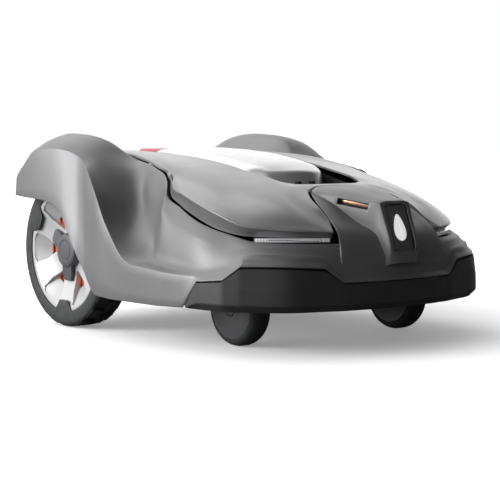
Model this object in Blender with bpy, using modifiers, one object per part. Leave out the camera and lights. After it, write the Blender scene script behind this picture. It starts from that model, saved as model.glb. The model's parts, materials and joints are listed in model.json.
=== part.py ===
"""Robotic lawn mower: floating body on a chassis box, two driven rear wheels, two front casters and a
pivoting-blade disc.  Metres, +Z up, nose towards -Y, standing on Z = 0, centred on the origin."""

import math

import bmesh
import bpy
from mathutils import Matrix, Vector

# ---- overall sizes of the body ----
LENGTH = 0.720
WIDTH = 0.558
HEIGHT = 0.314
SKIN = 0.003  # wall of the moulded shells
BUMPER_WALL = 0.006
FIT = 0.0003  # gap between touching pieces
RUNNING_FIT = 0.0005  # gap round a turning shaft

# ---- rear wheels ----
WHEEL_RADIUS = 0.124
WHEEL_WIDTH = 0.055
WHEEL_FACE_INSET = 0.027  # from the body's widest point in to the wheel's outer face
LUG_DEPTH = 0.005
LUG_COUNT = 20
LUG_STEPS = 3  # points of the tread in each lug and its gap
TYRE_DEPTH = 0.020  # from the rim's edge out to the foot of the lugs
WEDGE_COUNT = 3  # tongues of the tyre that notch the rim
WEDGE_TURN = math.radians(30)
WEDGE_STEP = 0.0035  # depth of the notch that each tongue lies in
WEDGE_REACH = 0.018  # how far each tongue reaches in from the rim's edge
RIM_WALL = 0.004
DISH_DEPTH = 0.016  # from the wheel's outer face in to the dished hub
WHEEL_ROOM = 0.004  # between the tyre and the arch round it
SPOKE_COUNT = 6
HUB_RADIUS = 0.030
HUB_CAP_HEIGHT = 0.012
SHAFT_RADIUS = 0.006

# ---- front casters ----
CASTER_RADIUS = 0.056
CASTER_WIDTH = 0.038
CASTER_TRAIL = 0.030
CASTER_PIN_RADIUS = 0.007
CASTER_AXLE_RADIUS = 0.005
CASTER_GAP = 0.004  # between the wheel and its fork
FORK_WALL = 0.008
FORK_HALF_LENGTH = 0.014
BUSH_RADIUS = 0.011
CASTER_HEADROOM = 0.017  # between the caster wheel and the chassis arm over it
CASTER_ARM_DEPTH = 0.017

# ---- cutting system ----
DISC_RADIUS = 0.108
DISC_THICKNESS = 0.003
CUT_HEIGHT = 0.060  # blade height above the ground when the system is fully raised
CUT_TRAVEL = 0.040
CUT_MOTOR_RADIUS = 0.032
CUT_MOTOR_HEIGHT = 0.048
CUT_SHAFT_RADIUS = 0.005
SKID_RADIUS = 0.080
BLADE_LENGTH = 0.034
BLADE_WIDTH = 0.019
BLADE_THICKNESS = 0.001
BLADE_COUNT = 3
LIFT_SCREW_RADIUS = 0.003
SKID_STUB_RADIUS = 0.0035
BLADE_STUD_RADIUS = 0.0018
SKID_DROP = 0.012  # from the disc down to the skid plate

# ---- chassis box ----
CHASSIS_FLOOR = 0.074
CHASSIS_WALL = 0.004
CHASSIS_SIDE_GAP = 0.037  # between the chassis box and each rear wheel
CHASSIS_FRONT_Y = -0.095
CHASSIS_TAIL = 0.135  # from the rear axle back to the box's rear wall
CHASSIS_CORNER = 0.030
NECK_HALF_WIDTH = 0.060
NECK_FRONT_Y = -0.240
LID_GAP = 0.011  # between the chassis lid and the floor of the console's bowl
DECK_RISE = 0.033  # from the chassis lid up to the console's top
DECK_HALF_WIDTH = 0.046
DECK_FRONT = -0.112
DECK_REAR = 0.098
POST_RADIUS = 0.008
POST_HEIGHT = 0.010
RAIL_DEPTH = 0.006
MOTOR_RADIUS = 0.028
MOTOR_LENGTH = 0.072
BATTERY_HALF_WIDTH = 0.060
BATTERY_HEIGHT = 0.058
BOARD_BOTTOM = 0.158

# ---- controls, contacts and badge ----
KEY_TRAVEL = 0.0012
KEY_HEIGHT = 0.0035
KEY_GAP = 0.0006
POCKET_DEPTH = 0.0022
SCREEN_DEPTH = 0.008
KEYS = {  # centre across, centre along, half width, half length
    "power_key": (-0.026, -0.086, 0.012, 0.008),
    "start_key": (0.026, -0.086, 0.012, 0.008),
    "back_key": (-0.026, 0.000, 0.012, 0.008),
    "ok_key": (0.026, 0.000, 0.012, 0.008),
}
ARROW_PAD_Y = -0.043
ARROW_PAD_HALF = 0.022
SCREEN_LOW = (-0.034, 0.022)
SCREEN_HIGH = (0.034, 0.080)
STOP_GAP = 0.0015
HINGE_PIN_RADIUS = 0.0025
HINGE_HALF = 0.018
CONTACT_LENGTH = 0.050
CONTACT_HEIGHT = 0.0085
BADGE_RECESS = 0.0014
BADGE_CORNER = 0.004
LEAF_HALF_WIDTH = 0.0105
LEAF_HALF_HEIGHT = 0.020


def styled(x, y, z):
    """A point of the body's styling, drawn on a 558 x 720 x 314 mm body, at the body's present size."""
    return Vector((x * WIDTH / 558, y * LENGTH / 720, z * HEIGHT / 314))


AXLE_Y = styled(0, 173, 0).y
WHEEL_OUTER_X = WIDTH / 2 - WHEEL_FACE_INSET
WHEEL_INNER_X = WHEEL_OUTER_X - WHEEL_WIDTH
CASTER_X = styled(161, 0, 0).x
CASTER_PIVOT_Y = styled(0, -206, 0).y
CASTER_Y = CASTER_PIVOT_Y + CASTER_TRAIL
DISC_Y = styled(0, 12, 0).y
HINGE = styled(0, -138, 224)
STOP_FRONT, STOP_REAR, STOP_HALF = 166, 236, 59
RIM_EDGE = WHEEL_RADIUS - LUG_DEPTH - TYRE_DEPTH
FACE_RADIUS = RIM_EDGE - 0.006
SKID_TOP = CUT_HEIGHT - SKID_DROP
MOTOR_BOTTOM = CHASSIS_FLOOR + CHASSIS_WALL + CUT_TRAVEL + 0.002
SCREW_X = CUT_MOTOR_RADIUS + 0.014
BLADE_PIVOT = DISC_RADIUS - 0.014
ARM_BOTTOM = 2 * CASTER_RADIUS + CASTER_HEADROOM
ARM_TOP = ARM_BOTTOM + CASTER_ARM_DEPTH
CHASSIS_SPLIT = ARM_TOP + 0.004  # height where the lid meets the tub
CHASSIS_HALF_WIDTH = WHEEL_INNER_X - CHASSIS_SIDE_GAP
CHASSIS_REAR_Y = AXLE_Y + CHASSIS_TAIL
TRAY_FLOOR = styled(0, 0, 216).z
LID_TOP = TRAY_FLOOR - LID_GAP
DECK_TOP = LID_TOP + DECK_RISE
FRAME_BOTTOM = LID_TOP + POST_HEIGHT
FRAME_FRONT_Y = styled(0, -80, 0).y
FRAME_REAR_Y = styled(0, 150, 0).y + 0.008
RAIL_INNER_X = styled(83, 0, 0).x + 0.008
RAIL_OUTER_X = styled(127.5, 0, 0).x
POST_X = RAIL_INNER_X + 0.017
POSTS = [(x, y) for y in (FRAME_FRONT_Y + 0.012, FRAME_REAR_Y - 0.040) for x in (POST_X, -POST_X)]

# ---- the body's outer surface: each line is one upright section from the hem up to the cover's seam ----
#   hem              outer edge       ledge            flank            crest            seam
BODY_SECTIONS = [
    ((0, -358, 103), (0, -353, 110), (0, -351, 122), (0, -346, 135), (0, -340, 148), (0, -333, 160)),
    ((60, -355, 103), (60, -350, 110), (60, -348, 122), (60, -343, 135), (59, -337, 148), (58, -330, 160)),
    ((106, -346, 103), (103, -341, 110), (103, -339, 122), (103, -335, 135), (102, -330, 147), (101, -325, 157)),
    ((133, -335, 124), (129, -331, 131), (128, -329, 136), (127, -325, 142), (126, -321, 150), (124, -315, 157)),
    ((186, -314, 127), (183, -309, 134), (180, -306, 140), (177, -302, 146), (173, -297, 152), (167, -290, 158)),
    ((236, -271, 128), (228, -267, 135), (224, -264, 141), (220, -261, 147), (213, -260, 153), (200, -260, 160)),
    ((251, -249, 108), (245, -245, 115), (239, -238, 123), (232, -231, 139), (223, -222, 156), (212, -216, 169)),
    ((260, -200, 103), (256, -198, 110), (250, -196, 116), (244, -190, 140), (234, -180, 164), (219, -172, 179)),
    ((263, -170, 63), (264, -164, 110), (249, -150, 119), (244, -145, 148), (234, -137, 173), (218, -132, 191)),
    ((273, -122, 62), (272, -132, 112), (248, -110, 122), (242, -108, 155), (231, -104, 182), (214, -99, 204)),
    ((276, -75, 62), (276, -78, 117), (245, -77, 127), (240, -75, 165), (228, -70, 198), (211, -63, 220)),
    ((277, -50, 62), (277, -54, 119), (239, -60, 135), (226, -59, 168), (215, -56, 209), (204, -52, 241)),
    ((279, 10, 63), (276, 4, 168), (246, -2, 166), (213, 0, 176), (203, 2, 222), (188, 0, 260)),
    ((279, 40, 67), (275, 40, 222), (248, 37, 218), (197, 38, 227), (188, 34, 249), (180, 28, 265)),
    ((279, 55, 82), (265, 78, 256), (242, 74, 254), (208, 66, 256), (184, 62, 262), (172, 58, 269)),
    ((278, 68, 98), (256, 104, 268), (238, 103, 276), (206, 101, 281), (178, 100, 280), (164, 86, 272)),
    ((277, 90, 120), (254, 120, 277), (240, 119, 285), (214, 118, 292), (184, 118, 293), (160, 110, 275)),
    ((277, 112, 150), (256, 138, 284), (243, 137, 292), (218, 136, 301), (191, 136, 303), (153, 135, 277)),
    ((275, 155, 196), (262, 162, 289), (245, 162, 299), (222, 163, 307), (197, 165, 310), (149, 172, 279)),
    ((275, 185, 204), (267, 192, 290), (245, 196, 301), (222, 200, 309), (197, 202, 313), (147, 205, 279)),
    ((275, 220, 207), (271, 228, 286), (242, 236, 300), (220, 240, 309), (194, 242, 314), (145, 245, 278)),
    ((273, 262, 209), (272, 262, 262), (238, 275, 286), (212, 282, 300), (188, 285, 308), (143, 285, 275)),
    ((268, 296, 211), (266, 296, 238), (235, 308, 262), (208, 318, 280), (180, 324, 290), (138, 318, 271)),
    ((240, 318, 208), (236, 320, 225), (212, 330, 250), (185, 338, 268), (155, 342, 277), (125, 335, 268)),
    ((195, 333, 203), (192, 338, 213), (180, 346, 235), (160, 350, 256), (132, 352, 268), (105, 345, 265)),
    ((174, 337, 130), (172, 344, 140), (160, 352, 180), (140, 356, 225), (105, 356, 255), (80, 349, 261)),
    ((150, 345, 96), (148, 351, 103), (130, 356, 150), (105, 358, 210), (75, 357, 247), (50, 350, 259)),
    ((0, 350, 93), (0, 357, 100), (0, 359.5, 150), (0, 359.5, 210), (0, 357.5, 246), (0, 352, 258)),
]
BODY_SPANS = (1, 1, 1, 1, 2, 1, 1, 1, 1, 1, 1, 1, 2, 1, 1, 1, 1, 1, 1, 1, 1, 1, 1, 1, 1, 1, 1)
HEM_CORNERS = (2, 3, 5, 6, 7, 8, 9, 24, 26)
EDGE_CORNERS = (2, 3, 5, 6, 8, 9, 24)
LEDGE_CORNERS = (9, 10, 11)

# ---- the top cover: each line runs from its lip at the seam, over the brow, in to the hatch opening ----
#   lip              brow             shoulder         dome             crown            opening
COVER_SECTIONS = [
    ((0, -206, 233), (0, -205, 235), (0, -202, 236), (0, -199, 236.5), (0, -195, 236.7), (0, -191, 236.3)),
    ((38, -208, 232), (38, -207, 234), (38, -204, 235.5), (38, -200, 236.3), (37, -196, 236.8), (36, -191, 236.5)),
    ((68, -221, 227), (69, -219, 229), (70, -212, 231), (69, -203, 234), (66, -195, 236.5), (61, -187, 237)),
    ((84, -250, 215), (86, -248, 218), (90, -236, 221), (90, -222, 227), (84, -206, 234), (74, -179, 239)),
    ((91, -278, 202), (94, -276, 205), (104, -262, 210), (108, -240, 219), (100, -212, 231), (80, -165, 242)),
    ((94, -303, 183), (98, -302, 186), (116, -286, 195), (124, -255, 209), (114, -215, 228), (84, -148, 247)),
    ((104, -316, 166), (107, -323, 172), (124, -303, 184), (137, -267, 205), (126, -218, 227), (86, -128, 251)),
    ((140, -300, 167), (143, -309, 174), (149, -291, 187), (154, -255, 206), (143, -203, 229), (87, -100, 256)),
    ((176, -268, 168), (180, -276, 177), (179, -258, 192), (173, -225, 211), (151, -176, 234), (88, -70, 262)),
    ((204, -236, 170), (209, -241, 182), (203, -221, 197), (190, -190, 214), (160, -145, 240), (88, -40, 267)),
    ((215, -197, 177), (221, -199, 197), (213, -182, 211), (197, -160, 224), (164, -115, 247), (88, -10, 271)),
    ((217, -146, 192), (223, -151, 212), (214, -134, 222), (200, -120, 233), (164, -83, 255), (87, 25, 275)),
    ((213, -101, 208), (219, -111, 223), (211, -96, 234), (198, -84, 243), (162, -48, 261), (86, 60, 278)),
    ((209, -69, 224), (211, -77, 230), (206, -66, 241), (194, -56, 251), (159, -20, 266), (86, 90, 280)),
    ((199, -53, 246), (199, -55, 249), (196, -46, 254), (186, -34, 260), (156, 5, 271), (85, 120, 282)),
    ((185, 4, 264), (184, 3, 266), (180, 8, 269), (169, 18, 273), (144, 46, 278), (84, 150, 283)),
    ((170, 60, 273), (169, 60, 275), (164, 62, 277), (152, 70, 280), (130, 90, 283), (83, 180, 284)),
    ((157, 118, 279), (156, 118, 281), (150, 120, 283), (138, 128, 284), (116, 140, 285), (82, 210, 285)),
    ((149, 172, 282), (148, 172, 284), (142, 174, 285), (130, 178, 286), (110, 185, 287), (81, 240, 285)),
    ((145, 245, 281), (144, 245, 283), (138, 245, 284), (126, 245, 285), (108, 246, 286), (80, 265, 284)),
    ((141, 288, 277), (140, 288, 279), (134, 288, 281), (122, 287, 283), (104, 287, 284), (79, 286, 283)),
]
COVER_SPANS = (1, 1, 1, 1, 1, 1, 1, 2, 2, 1, 1, 1, 1, 1, 1, 1, 2, 1, 1, 1)
LIP_CORNERS = (2, 6)

# ---- the nose beak: each line runs from the centre out to its shoulder, the foot of its wall, the seam ----
NOSE_SECTIONS = [
    ((0, -209, 232), (40, -211, 231), (64, -225, 226), (66, -227, 224), (67, -229, 223)),
    ((0, -262, 226), (38, -262, 225), (53, -263, 221), (55, -265, 207), (82, -258, 211)),
    ((0, -300, 219), (28, -300, 218), (40, -301, 214), (42, -303, 181), (91, -295, 190)),
    ((0, -333, 213), (18, -333, 213), (28, -333, 211), (31, -331, 165), (97, -322, 168)),
    ((0, -341, 190), (18, -341, 190), (27, -341, 189), (30, -340, 150), (101, -331, 152)),
    ((0, -356, 144), (18, -356, 144), (26, -355, 144), (28, -347, 133), (103, -336, 133)),
    ((0, -357, 126), (18, -356, 126), (24, -352, 125), (29, -347, 122), (103, -338, 120)),
]

# ---- the bumper: top edge, upper break, lower break, underside, from the centre round to the side ----
BUMPER_SECTIONS = [
    ((0, -359, 101), (0, -360, 86), (0, -360, 72), (0, -351, 62)),
    ((60, -356, 101), (60, -358, 86), (60, -358, 72), (59, -349, 62)),
    ((105, -347, 100), (106, -350, 86), (106, -351, 72), (104, -342, 62)),
    ((133, -337, 119), (133, -340, 95), (132, -342, 72), (129, -333, 62)),
    ((186, -316, 123.5), (187, -321, 95), (187, -322, 72), (181, -314, 62)),
    ((237, -272, 124), (238, -273, 95), (238, -273, 72), (230, -266, 62)),
    ((253, -249, 104.5), (253, -250, 88), (253, -250, 72), (245, -244, 62)),
    ((261, -202, 101), (261, -203, 84), (261, -203, 72), (253, -200, 62)),
    ((263, -178, 66), (263, -178, 65), (263, -178, 64), (255, -177, 62)),
]
BUMPER_SPANS = (2, 2, 1, 2, 2, 1, 2, 1)
BUMPER_CORNERS = (2, 3, 5, 6, 7)

# ---- the hatch: each line runs from the centre out over the crown and down the turned edge ----
HATCH_SECTIONS = [
    ((0, 154, 291), (45, 154, 289), (74, 154, 285), (81, 154, 281), (81, 154, 276)),
    ((0, 90, 290), (45, 90, 288), (74, 90, 283), (82, 90, 278), (82, 90, 273)),
    ((0, 0, 284), (45, 0, 282), (72, 0, 276), (80, 0, 270), (80, 0, 264)),
    ((0, -50, 277), (42, -50, 275), (68, -50, 268), (77, -50, 263), (77, -50, 256)),
    ((0, -95, 267), (40, -94, 265), (63, -88, 261), (74, -84, 256), (74, -84, 246)),
    ((0, -125, 255), (30, -121, 254), (54, -110, 253), (71, -93, 252), (72, -92, 242)),
    ((0, -135, 233), (29, -131, 233), (52, -119, 233), (68, -99, 233), (69, -97, 232)),
]

# ---- the tray round the console: rim under the cover's opening, foot of the wall, floor's edge ----
TRAY_SECTIONS = [
    ((0, -187, 229), (0, -168, 218), (0, -124, 216)),
    ((36, -186, 229), (34, -168, 218), (32, -124, 216)),
    ((60, -182, 230), (58, -162, 218), (50, -122, 216)),
    ((72, -172, 231), (70, -148, 218), (54, -118, 216)),
    ((80, -128, 239), (76, -110, 219), (57, -104, 216)),
    ((82, -70, 252), (78, -60, 221), (58, -58, 217)),
    ((83, 25, 264), (79, 25, 224), (58, 25, 218)),
    ((82, 90, 269), (79, 90, 226), (58, 90, 218)),
    ((80, 150, 272), (78, 148, 227), (58, 146, 218)),
]

# ---- the tail panel behind the cover: front edge, middle, rear edge ----
TAIL_SECTIONS = [
    ((0, 291, 284), (0, 318, 279), (0, 346, 262)),
    ((60, 291, 283), (58, 318, 278), (52, 345, 262)),
    ((104, 291, 281), (98, 316, 276), (80, 342, 264)),
    ((128, 291, 278), (122, 310, 274), (102, 336, 267)),
    ((139, 291, 275), (134, 306, 272), (120, 328, 269)),
]


def material(name, colour, roughness, metallic=0.0):
    made = bpy.data.materials.new(name)
    made.use_nodes = True
    shader = made.node_tree.nodes["Principled BSDF"]
    shader.inputs["Base Color"].default_value = (*colour, 1.0)
    shader.inputs["Roughness"].default_value = roughness
    shader.inputs["Metallic"].default_value = metallic
    return made


def finish(name, bm, made_of, sharp=35):
    """Turns a bmesh into a named object of the mower, with its faces turned outwards."""
    bmesh.ops.remove_doubles(bm, verts=bm.verts, dist=1e-6)
    bmesh.ops.recalc_face_normals(bm, faces=bm.faces)
    mesh = bpy.data.meshes.new(name)
    bm.to_mesh(mesh)
    bm.free()
    mesh.materials.append(made_of)
    obj = bpy.data.objects.new(name, mesh)
    PARTS.objects.link(obj)
    return shaded(obj, sharp)


def shaded(obj, sharp=35):
    obj.data.shade_smooth()
    obj.data.set_sharp_from_angle(angle=math.radians(sharp))
    return obj


def applied(obj):
    """Replaces the object's mesh with what its modifiers make of it."""
    bpy.context.view_layer.update()
    graph = bpy.context.evaluated_depsgraph_get()
    mesh = bpy.data.meshes.new_from_object(obj.evaluated_get(graph))
    obj.modifiers.clear()
    obj.data = mesh
    return obj


def boolean(obj, others, operation="DIFFERENCE"):
    """Cuts the other shapes from obj, or joins them to it, and drops them."""
    for other in others:
        modifier = obj.modifiers.new(operation.lower(), "BOOLEAN")
        modifier.operation = operation
        modifier.object = other
        modifier.solver = "EXACT"
        applied(obj)
        bpy.data.objects.remove(other)
    return shaded(obj)


def cut(obj, *others):
    return boolean(obj, others)


def join(obj, *others):
    return boolean(obj, others, "UNION")


def bevelled(obj, width, segments=1, angle=40):
    modifier = obj.modifiers.new("edge_radius", "BEVEL")
    modifier.width = width
    modifier.segments = segments
    modifier.limit_method = "ANGLE"
    modifier.angle_limit = math.radians(angle)
    return shaded(applied(obj))


def moved(obj, matrix):
    obj.data.transform(matrix)
    return obj


def pivoted(obj, point):
    """Puts the object's origin on its joint without moving its shape."""
    point = Vector(point)
    obj.data.transform(Matrix.Translation(-point))
    obj.location = point
    return obj


def box(name, low, high, made_of, radius=0.0):
    bm = bmesh.new()
    bmesh.ops.create_cube(bm, size=1.0)
    centre = (Vector(low) + Vector(high)) / 2
    size = Vector(high) - Vector(low)
    bmesh.ops.transform(bm, matrix=Matrix.Translation(centre) @ Matrix.Diagonal((*size, 1)), verts=bm.verts)
    obj = finish(name, bm, made_of)
    return bevelled(obj, radius) if radius else obj


TURNS = {"X": Matrix.Rotation(math.pi / 2, 4, "Y"), "Y": Matrix.Rotation(-math.pi / 2, 4, "X"), "Z": Matrix()}


def rod(name, centre, radius, length, axis, made_of, sides=24):
    bm = bmesh.new()
    bmesh.ops.create_cone(bm, cap_ends=True, segments=sides, radius1=radius, radius2=radius, depth=length)
    bmesh.ops.transform(bm, matrix=Matrix.Translation(centre) @ TURNS[axis], verts=bm.verts)
    return finish(name, bm, made_of)


def turned(name, profile, centre, axis, made_of, steps=32, closed=False):
    """A turned shape: (radius, along) points of the profile, swept round the axis.
    An open profile starts and ends on the axis, and a closed one makes a ring."""
    mesh = bpy.data.meshes.new(name)
    count = len(profile)
    edges = [(i, i + 1) for i in range(count - 1)]
    if closed:
        edges.append((count - 1, 0))
    mesh.from_pydata([(radius, 0, along) for radius, along in profile], edges, [])
    obj = bpy.data.objects.new(name, mesh)
    PARTS.objects.link(obj)
    screw = obj.modifiers.new("turning", "SCREW")
    screw.steps = steps
    screw.render_steps = steps
    screw.use_merge_vertices = True
    screw.merge_threshold = 0.00001
    applied(obj)
    bm = bmesh.new()
    bm.from_mesh(obj.data)
    bpy.data.objects.remove(obj)
    bmesh.ops.transform(bm, matrix=Matrix.Translation(centre) @ TURNS[axis], verts=bm.verts)
    return finish(name, bm, made_of)


def plate(name, outline, low, high, made_of, plane=None):
    """A flat outline of (x, y) points, drawn from low to high; plane places it anywhere else."""
    curve = bpy.data.curves.new(name, "CURVE")
    curve.dimensions = "2D"
    curve.fill_mode = "BOTH"
    curve.extrude = (high - low) / 2
    spline = curve.splines.new("POLY")
    spline.points.add(len(outline) - 1)
    for point, (x, y) in zip(spline.points, outline):
        point.co = (x, y, 0, 1)
    spline.use_cyclic_u = True
    flat = bpy.data.objects.new(name, curve)
    PARTS.objects.link(flat)
    bpy.context.view_layer.update()
    mesh = bpy.data.meshes.new_from_object(flat.evaluated_get(bpy.context.evaluated_depsgraph_get()))
    bpy.data.objects.remove(flat)
    bm = bmesh.new()
    bm.from_mesh(mesh)
    matrix = (plane or Matrix()) @ Matrix.Translation((0, 0, (low + high) / 2))
    bmesh.ops.transform(bm, matrix=matrix, verts=bm.verts)
    return finish(name, bm, made_of)


def tube(name, path, radius, made_of, sides=4):
    """A round bar along the path."""
    curve = bpy.data.curves.new(name, "CURVE")
    curve.dimensions = "3D"
    curve.bevel_depth = radius
    curve.bevel_resolution = sides
    curve.use_fill_caps = True
    spline = curve.splines.new("POLY")
    spline.points.add(len(path) - 1)
    for point, place in zip(spline.points, path):
        point.co = (*place, 1)
    bar = bpy.data.objects.new(name, curve)
    PARTS.objects.link(bar)
    bpy.context.view_layer.update()
    mesh = bpy.data.meshes.new_from_object(bar.evaluated_get(bpy.context.evaluated_depsgraph_get()))
    bpy.data.objects.remove(bar)
    bm = bmesh.new()
    bm.from_mesh(mesh)
    return finish(name, bm, made_of)


def smooth_through(points, spans, corners=(), flat_start=False, flat_end=False):
    """Points on a smooth curve through the given ones: spans[i] steps from point i to the next, with a
    corner at each index in corners.  A flat end crosses the mower's centre plane squarely."""
    last = len(points) - 1
    chords = [max((points[i + 1] - points[i]).length, 1e-7) for i in range(last)]
    ways = [(points[i + 1] - points[i]) / chords[i] for i in range(last)]
    leave, arrive = [None] * (last + 1), [None] * (last + 1)
    for i in range(last + 1):
        if i == 0:
            leave[i] = Vector((1, 0, 0)) if flat_start else ways[0]
        elif i == last:
            arrive[i] = Vector((-1, 0, 0)) if flat_end else ways[-1]
        elif i in corners:
            arrive[i], leave[i] = ways[i - 1], ways[i]
        else:
            share = chords[i - 1] / (chords[i - 1] + chords[i])
            arrive[i] = leave[i] = ways[i - 1].lerp(ways[i], share)
    found = [points[0].copy()]
    for i in range(last):
        for step in range(1, spans[i] + 1):
            t = step / spans[i]
            found.append(
                points[i] * (2 * t**3 - 3 * t**2 + 1)
                + leave[i] * chords[i] * (t**3 - 2 * t**2 + t)
                + points[i + 1] * (3 * t**2 - 2 * t**3)
                + arrive[i + 1] * chords[i] * (t**3 - t**2)
            )
    return found


def skin_grid(sections, along, across, row_corners=None, creased=(), flat_start=True, flat_end=False,
              flat_across=False):
    """A dense grid of points on the surface through the sections.  row_corners[r] are the corners along
    row r, and creased the rows that stay sharp.  A flat end crosses the centre plane squarely."""
    rows = []
    for r in range(len(sections[0])):
        line = [styled(*section[r]) for section in sections]
        corners = (row_corners or {}).get(r, ())
        rows.append(smooth_through(line, along, corners, flat_start, flat_end))
    return [smooth_through(list(points), across, creased, flat_across) for points in zip(*rows)]


def skin_object(name, columns, wall, made_of, mirrored=True):
    """A shell of the given wall inside the grid of points, mirrored about the centre plane."""
    bm = bmesh.new()
    verts = [[bm.verts.new(p) for p in column] for column in columns]
    for here, after in zip(verts, verts[1:]):
        for r in range(len(here) - 1):
            bm.faces.new((here[r], after[r], after[r + 1], here[r + 1]))
    bmesh.ops.remove_doubles(bm, verts=bm.verts, dist=1e-6)
    mesh = bpy.data.meshes.new(name)
    bm.to_mesh(mesh)
    bm.free()
    mesh.materials.append(made_of)
    obj = bpy.data.objects.new(name, mesh)
    PARTS.objects.link(obj)
    if mirrored:
        mirror = obj.modifiers.new("other_side", "MIRROR")
        mirror.merge_threshold = 0.0001
        mirror.use_clip = True
    thick = obj.modifiers.new("wall", "SOLIDIFY")
    thick.thickness = wall
    thick.offset = -1
    return shaded(applied(obj))


def clear_scene():
    for obj in list(bpy.data.objects):
        bpy.data.objects.remove(obj, do_unlink=True)
    made = bpy.data.collections.new("robotic_lawn_mower")
    bpy.context.scene.collection.children.link(made)
    return made


PARTS = clear_scene()
MATTE_GREY = material("body_grey", (0.235, 0.235, 0.24), 0.42, 0.25)
GLOSS_GREY = material("cover_grey", (0.30, 0.30, 0.31), 0.22, 0.45)
HATCH_SILVER = material("hatch_silver", (0.45, 0.45, 0.46), 0.2, 0.5)
CHARCOAL = material("bumper_charcoal", (0.035, 0.036, 0.038), 0.62)
BLACK = material("black_plastic", (0.02, 0.02, 0.021), 0.5)
DARK_GREY = material("dark_grey_plastic", (0.09, 0.092, 0.095), 0.5)
RUBBER = material("tyre_rubber", (0.03, 0.031, 0.033), 0.75)
RIM_SILVER = material("rim_silver", (0.75, 0.75, 0.76), 0.35, 0.2)
ORANGE = material("orange_plastic", (0.95, 0.16, 0.02), 0.45)
STOP_RED = material("stop_red", (0.70, 0.03, 0.03), 0.35)
CLEAR = material("headlight_lens", (0.55, 0.57, 0.6), 0.1)
COPPER = material("contact_copper", (0.85, 0.45, 0.28), 0.3, 0.9)
STEEL = material("steel", (0.6, 0.6, 0.61), 0.3, 0.9)
CELL_BLUE = material("battery_sleeve", (0.05, 0.12, 0.3), 0.5)
BOARD_GREEN = material("circuit_board", (0.02, 0.16, 0.07), 0.5)
GLASS = material("display_glass", (0.05, 0.07, 0.06), 0.08)


def tucked(columns, inward, down):
    """Adds a flange to each column that turns in under the neighbouring panel."""
    for column in columns:
        end = column[-1]
        side = Vector((-end.x, -end.y * 0.6, 0))
        side = side.normalized() if side.length > 1e-6 else Vector((0, 0, 0))
        column.append(end + side * inward + Vector((0, 0, -down)))
    return columns


def both(maker):
    """Calls a maker for the mower's left side (+X) and its right side (-X)."""
    maker("left", 1)
    maker("right", -1)


# ======== the floating body ========


def body_shell():
    """The moulded body in one piece: wheel arches, sills, shoulders, front skirt and the nose beak."""
    rows = {0: HEM_CORNERS, 1: EDGE_CORNERS, 2: LEDGE_CORNERS, 3: (10, 12, 13), 4: (10,)}
    columns = skin_grid(BODY_SECTIONS, BODY_SPANS, (1, 1, 2, 2, 1), rows, (1,), flat_end=True)
    shell = skin_object("body_shell", tucked(columns, 0.009, 0.006), SKIN, MATTE_GREY)
    spans = (1, 1, 2, 1, 1, 1)
    beak_rows = {0: (3,), 1: (3,), 2: (3,)}
    grid = skin_grid(NOSE_SECTIONS, spans, (1, 1, 1, 2), beak_rows, (2, 3), False, flat_across=True)
    beak = skin_object("beak", [column[::-1] for column in grid], SKIN, MATTE_GREY)
    join(shell, beak)
    cut(shell, plate("badge_recess", badge_outline(0), -BADGE_RECESS, 0.01, MATTE_GREY, badge_plane()[0]))
    for side in (1, -1):
        hub = (side * (WHEEL_INNER_X + WHEEL_OUTER_X) / 2, AXLE_Y, WHEEL_RADIUS)
        width = WHEEL_WIDTH + 0.010
        cut(shell, rod("wheel_room", hub, WHEEL_RADIUS + WHEEL_ROOM, width, "X", MATTE_GREY, 48))
        cut(shell, contact_box("contact_slot", side, 0.0, 0.014))
    return shell


def contact_frame(side):
    """Axes of the nose's side facet, at the middle of the contact slot: along it, up it and out of it."""
    rear = styled(50, -267, 215)
    front = styled(33.5, -320, 206.5)
    middle = (rear + front) / 2
    along = (front - rear).normalized()
    out = Vector((1, 0, 0))
    out = (out - along * out.dot(along)).normalized()
    up = out.cross(along).normalized()
    matrix = Matrix((along, up, out)).transposed().to_4x4()
    matrix.translation = middle
    mirror = Matrix.Diagonal((side, 1, 1, 1))
    return mirror @ matrix


def contact_box(name, side, shrink, depth, out=0.010, made_of=None):
    """A box in the slot, from depth below the facet up to out above it."""
    half_long = CONTACT_LENGTH / 2 - shrink
    half_high = CONTACT_HEIGHT / 2 - shrink
    obj = box(name, (-half_long, -half_high, -depth), (half_long, half_high, out), made_of or MATTE_GREY)
    moved(obj, contact_frame(side))
    return turned_out(obj)


def turned_out(obj):
    """Turns the faces outwards again after a mirroring move."""
    bm = bmesh.new()
    bm.from_mesh(obj.data)
    bmesh.ops.recalc_face_normals(bm, faces=bm.faces)
    bm.to_mesh(obj.data)
    bm.free()
    return obj


def contacts(name, side):
    """A copper charging strip in a black housing that fills the slot in the nose."""
    housing = contact_box("contact_housing_" + name, side, FIT, 0.010, -0.0015, BLACK)
    pocket = contact_box("pocket", side, 0.002, 0.0045)
    cut(housing, pocket)
    contact_box("contact_plate_" + name, side, 0.002 + FIT, 0.0045 - FIT, -0.0020, COPPER)


def top_cover():
    rows = {0: LIP_CORNERS, 1: LIP_CORNERS}
    columns = skin_grid(COVER_SECTIONS, COVER_SPANS, (1, 1, 1, 2, 2), rows, (1,))
    return skin_object("top_cover", columns, SKIN, GLOSS_GREY)


def front_bumper():
    """The soft bumper round the nose, from one side's sill to the other's."""
    rows = {r: BUMPER_CORNERS for r in range(4)}
    columns = skin_grid(BUMPER_SECTIONS, BUMPER_SPANS, (1, 1, 1), rows, (1, 2))
    return skin_object("front_bumper", [column[::-1] for column in columns], BUMPER_WALL, CHARCOAL)


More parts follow.
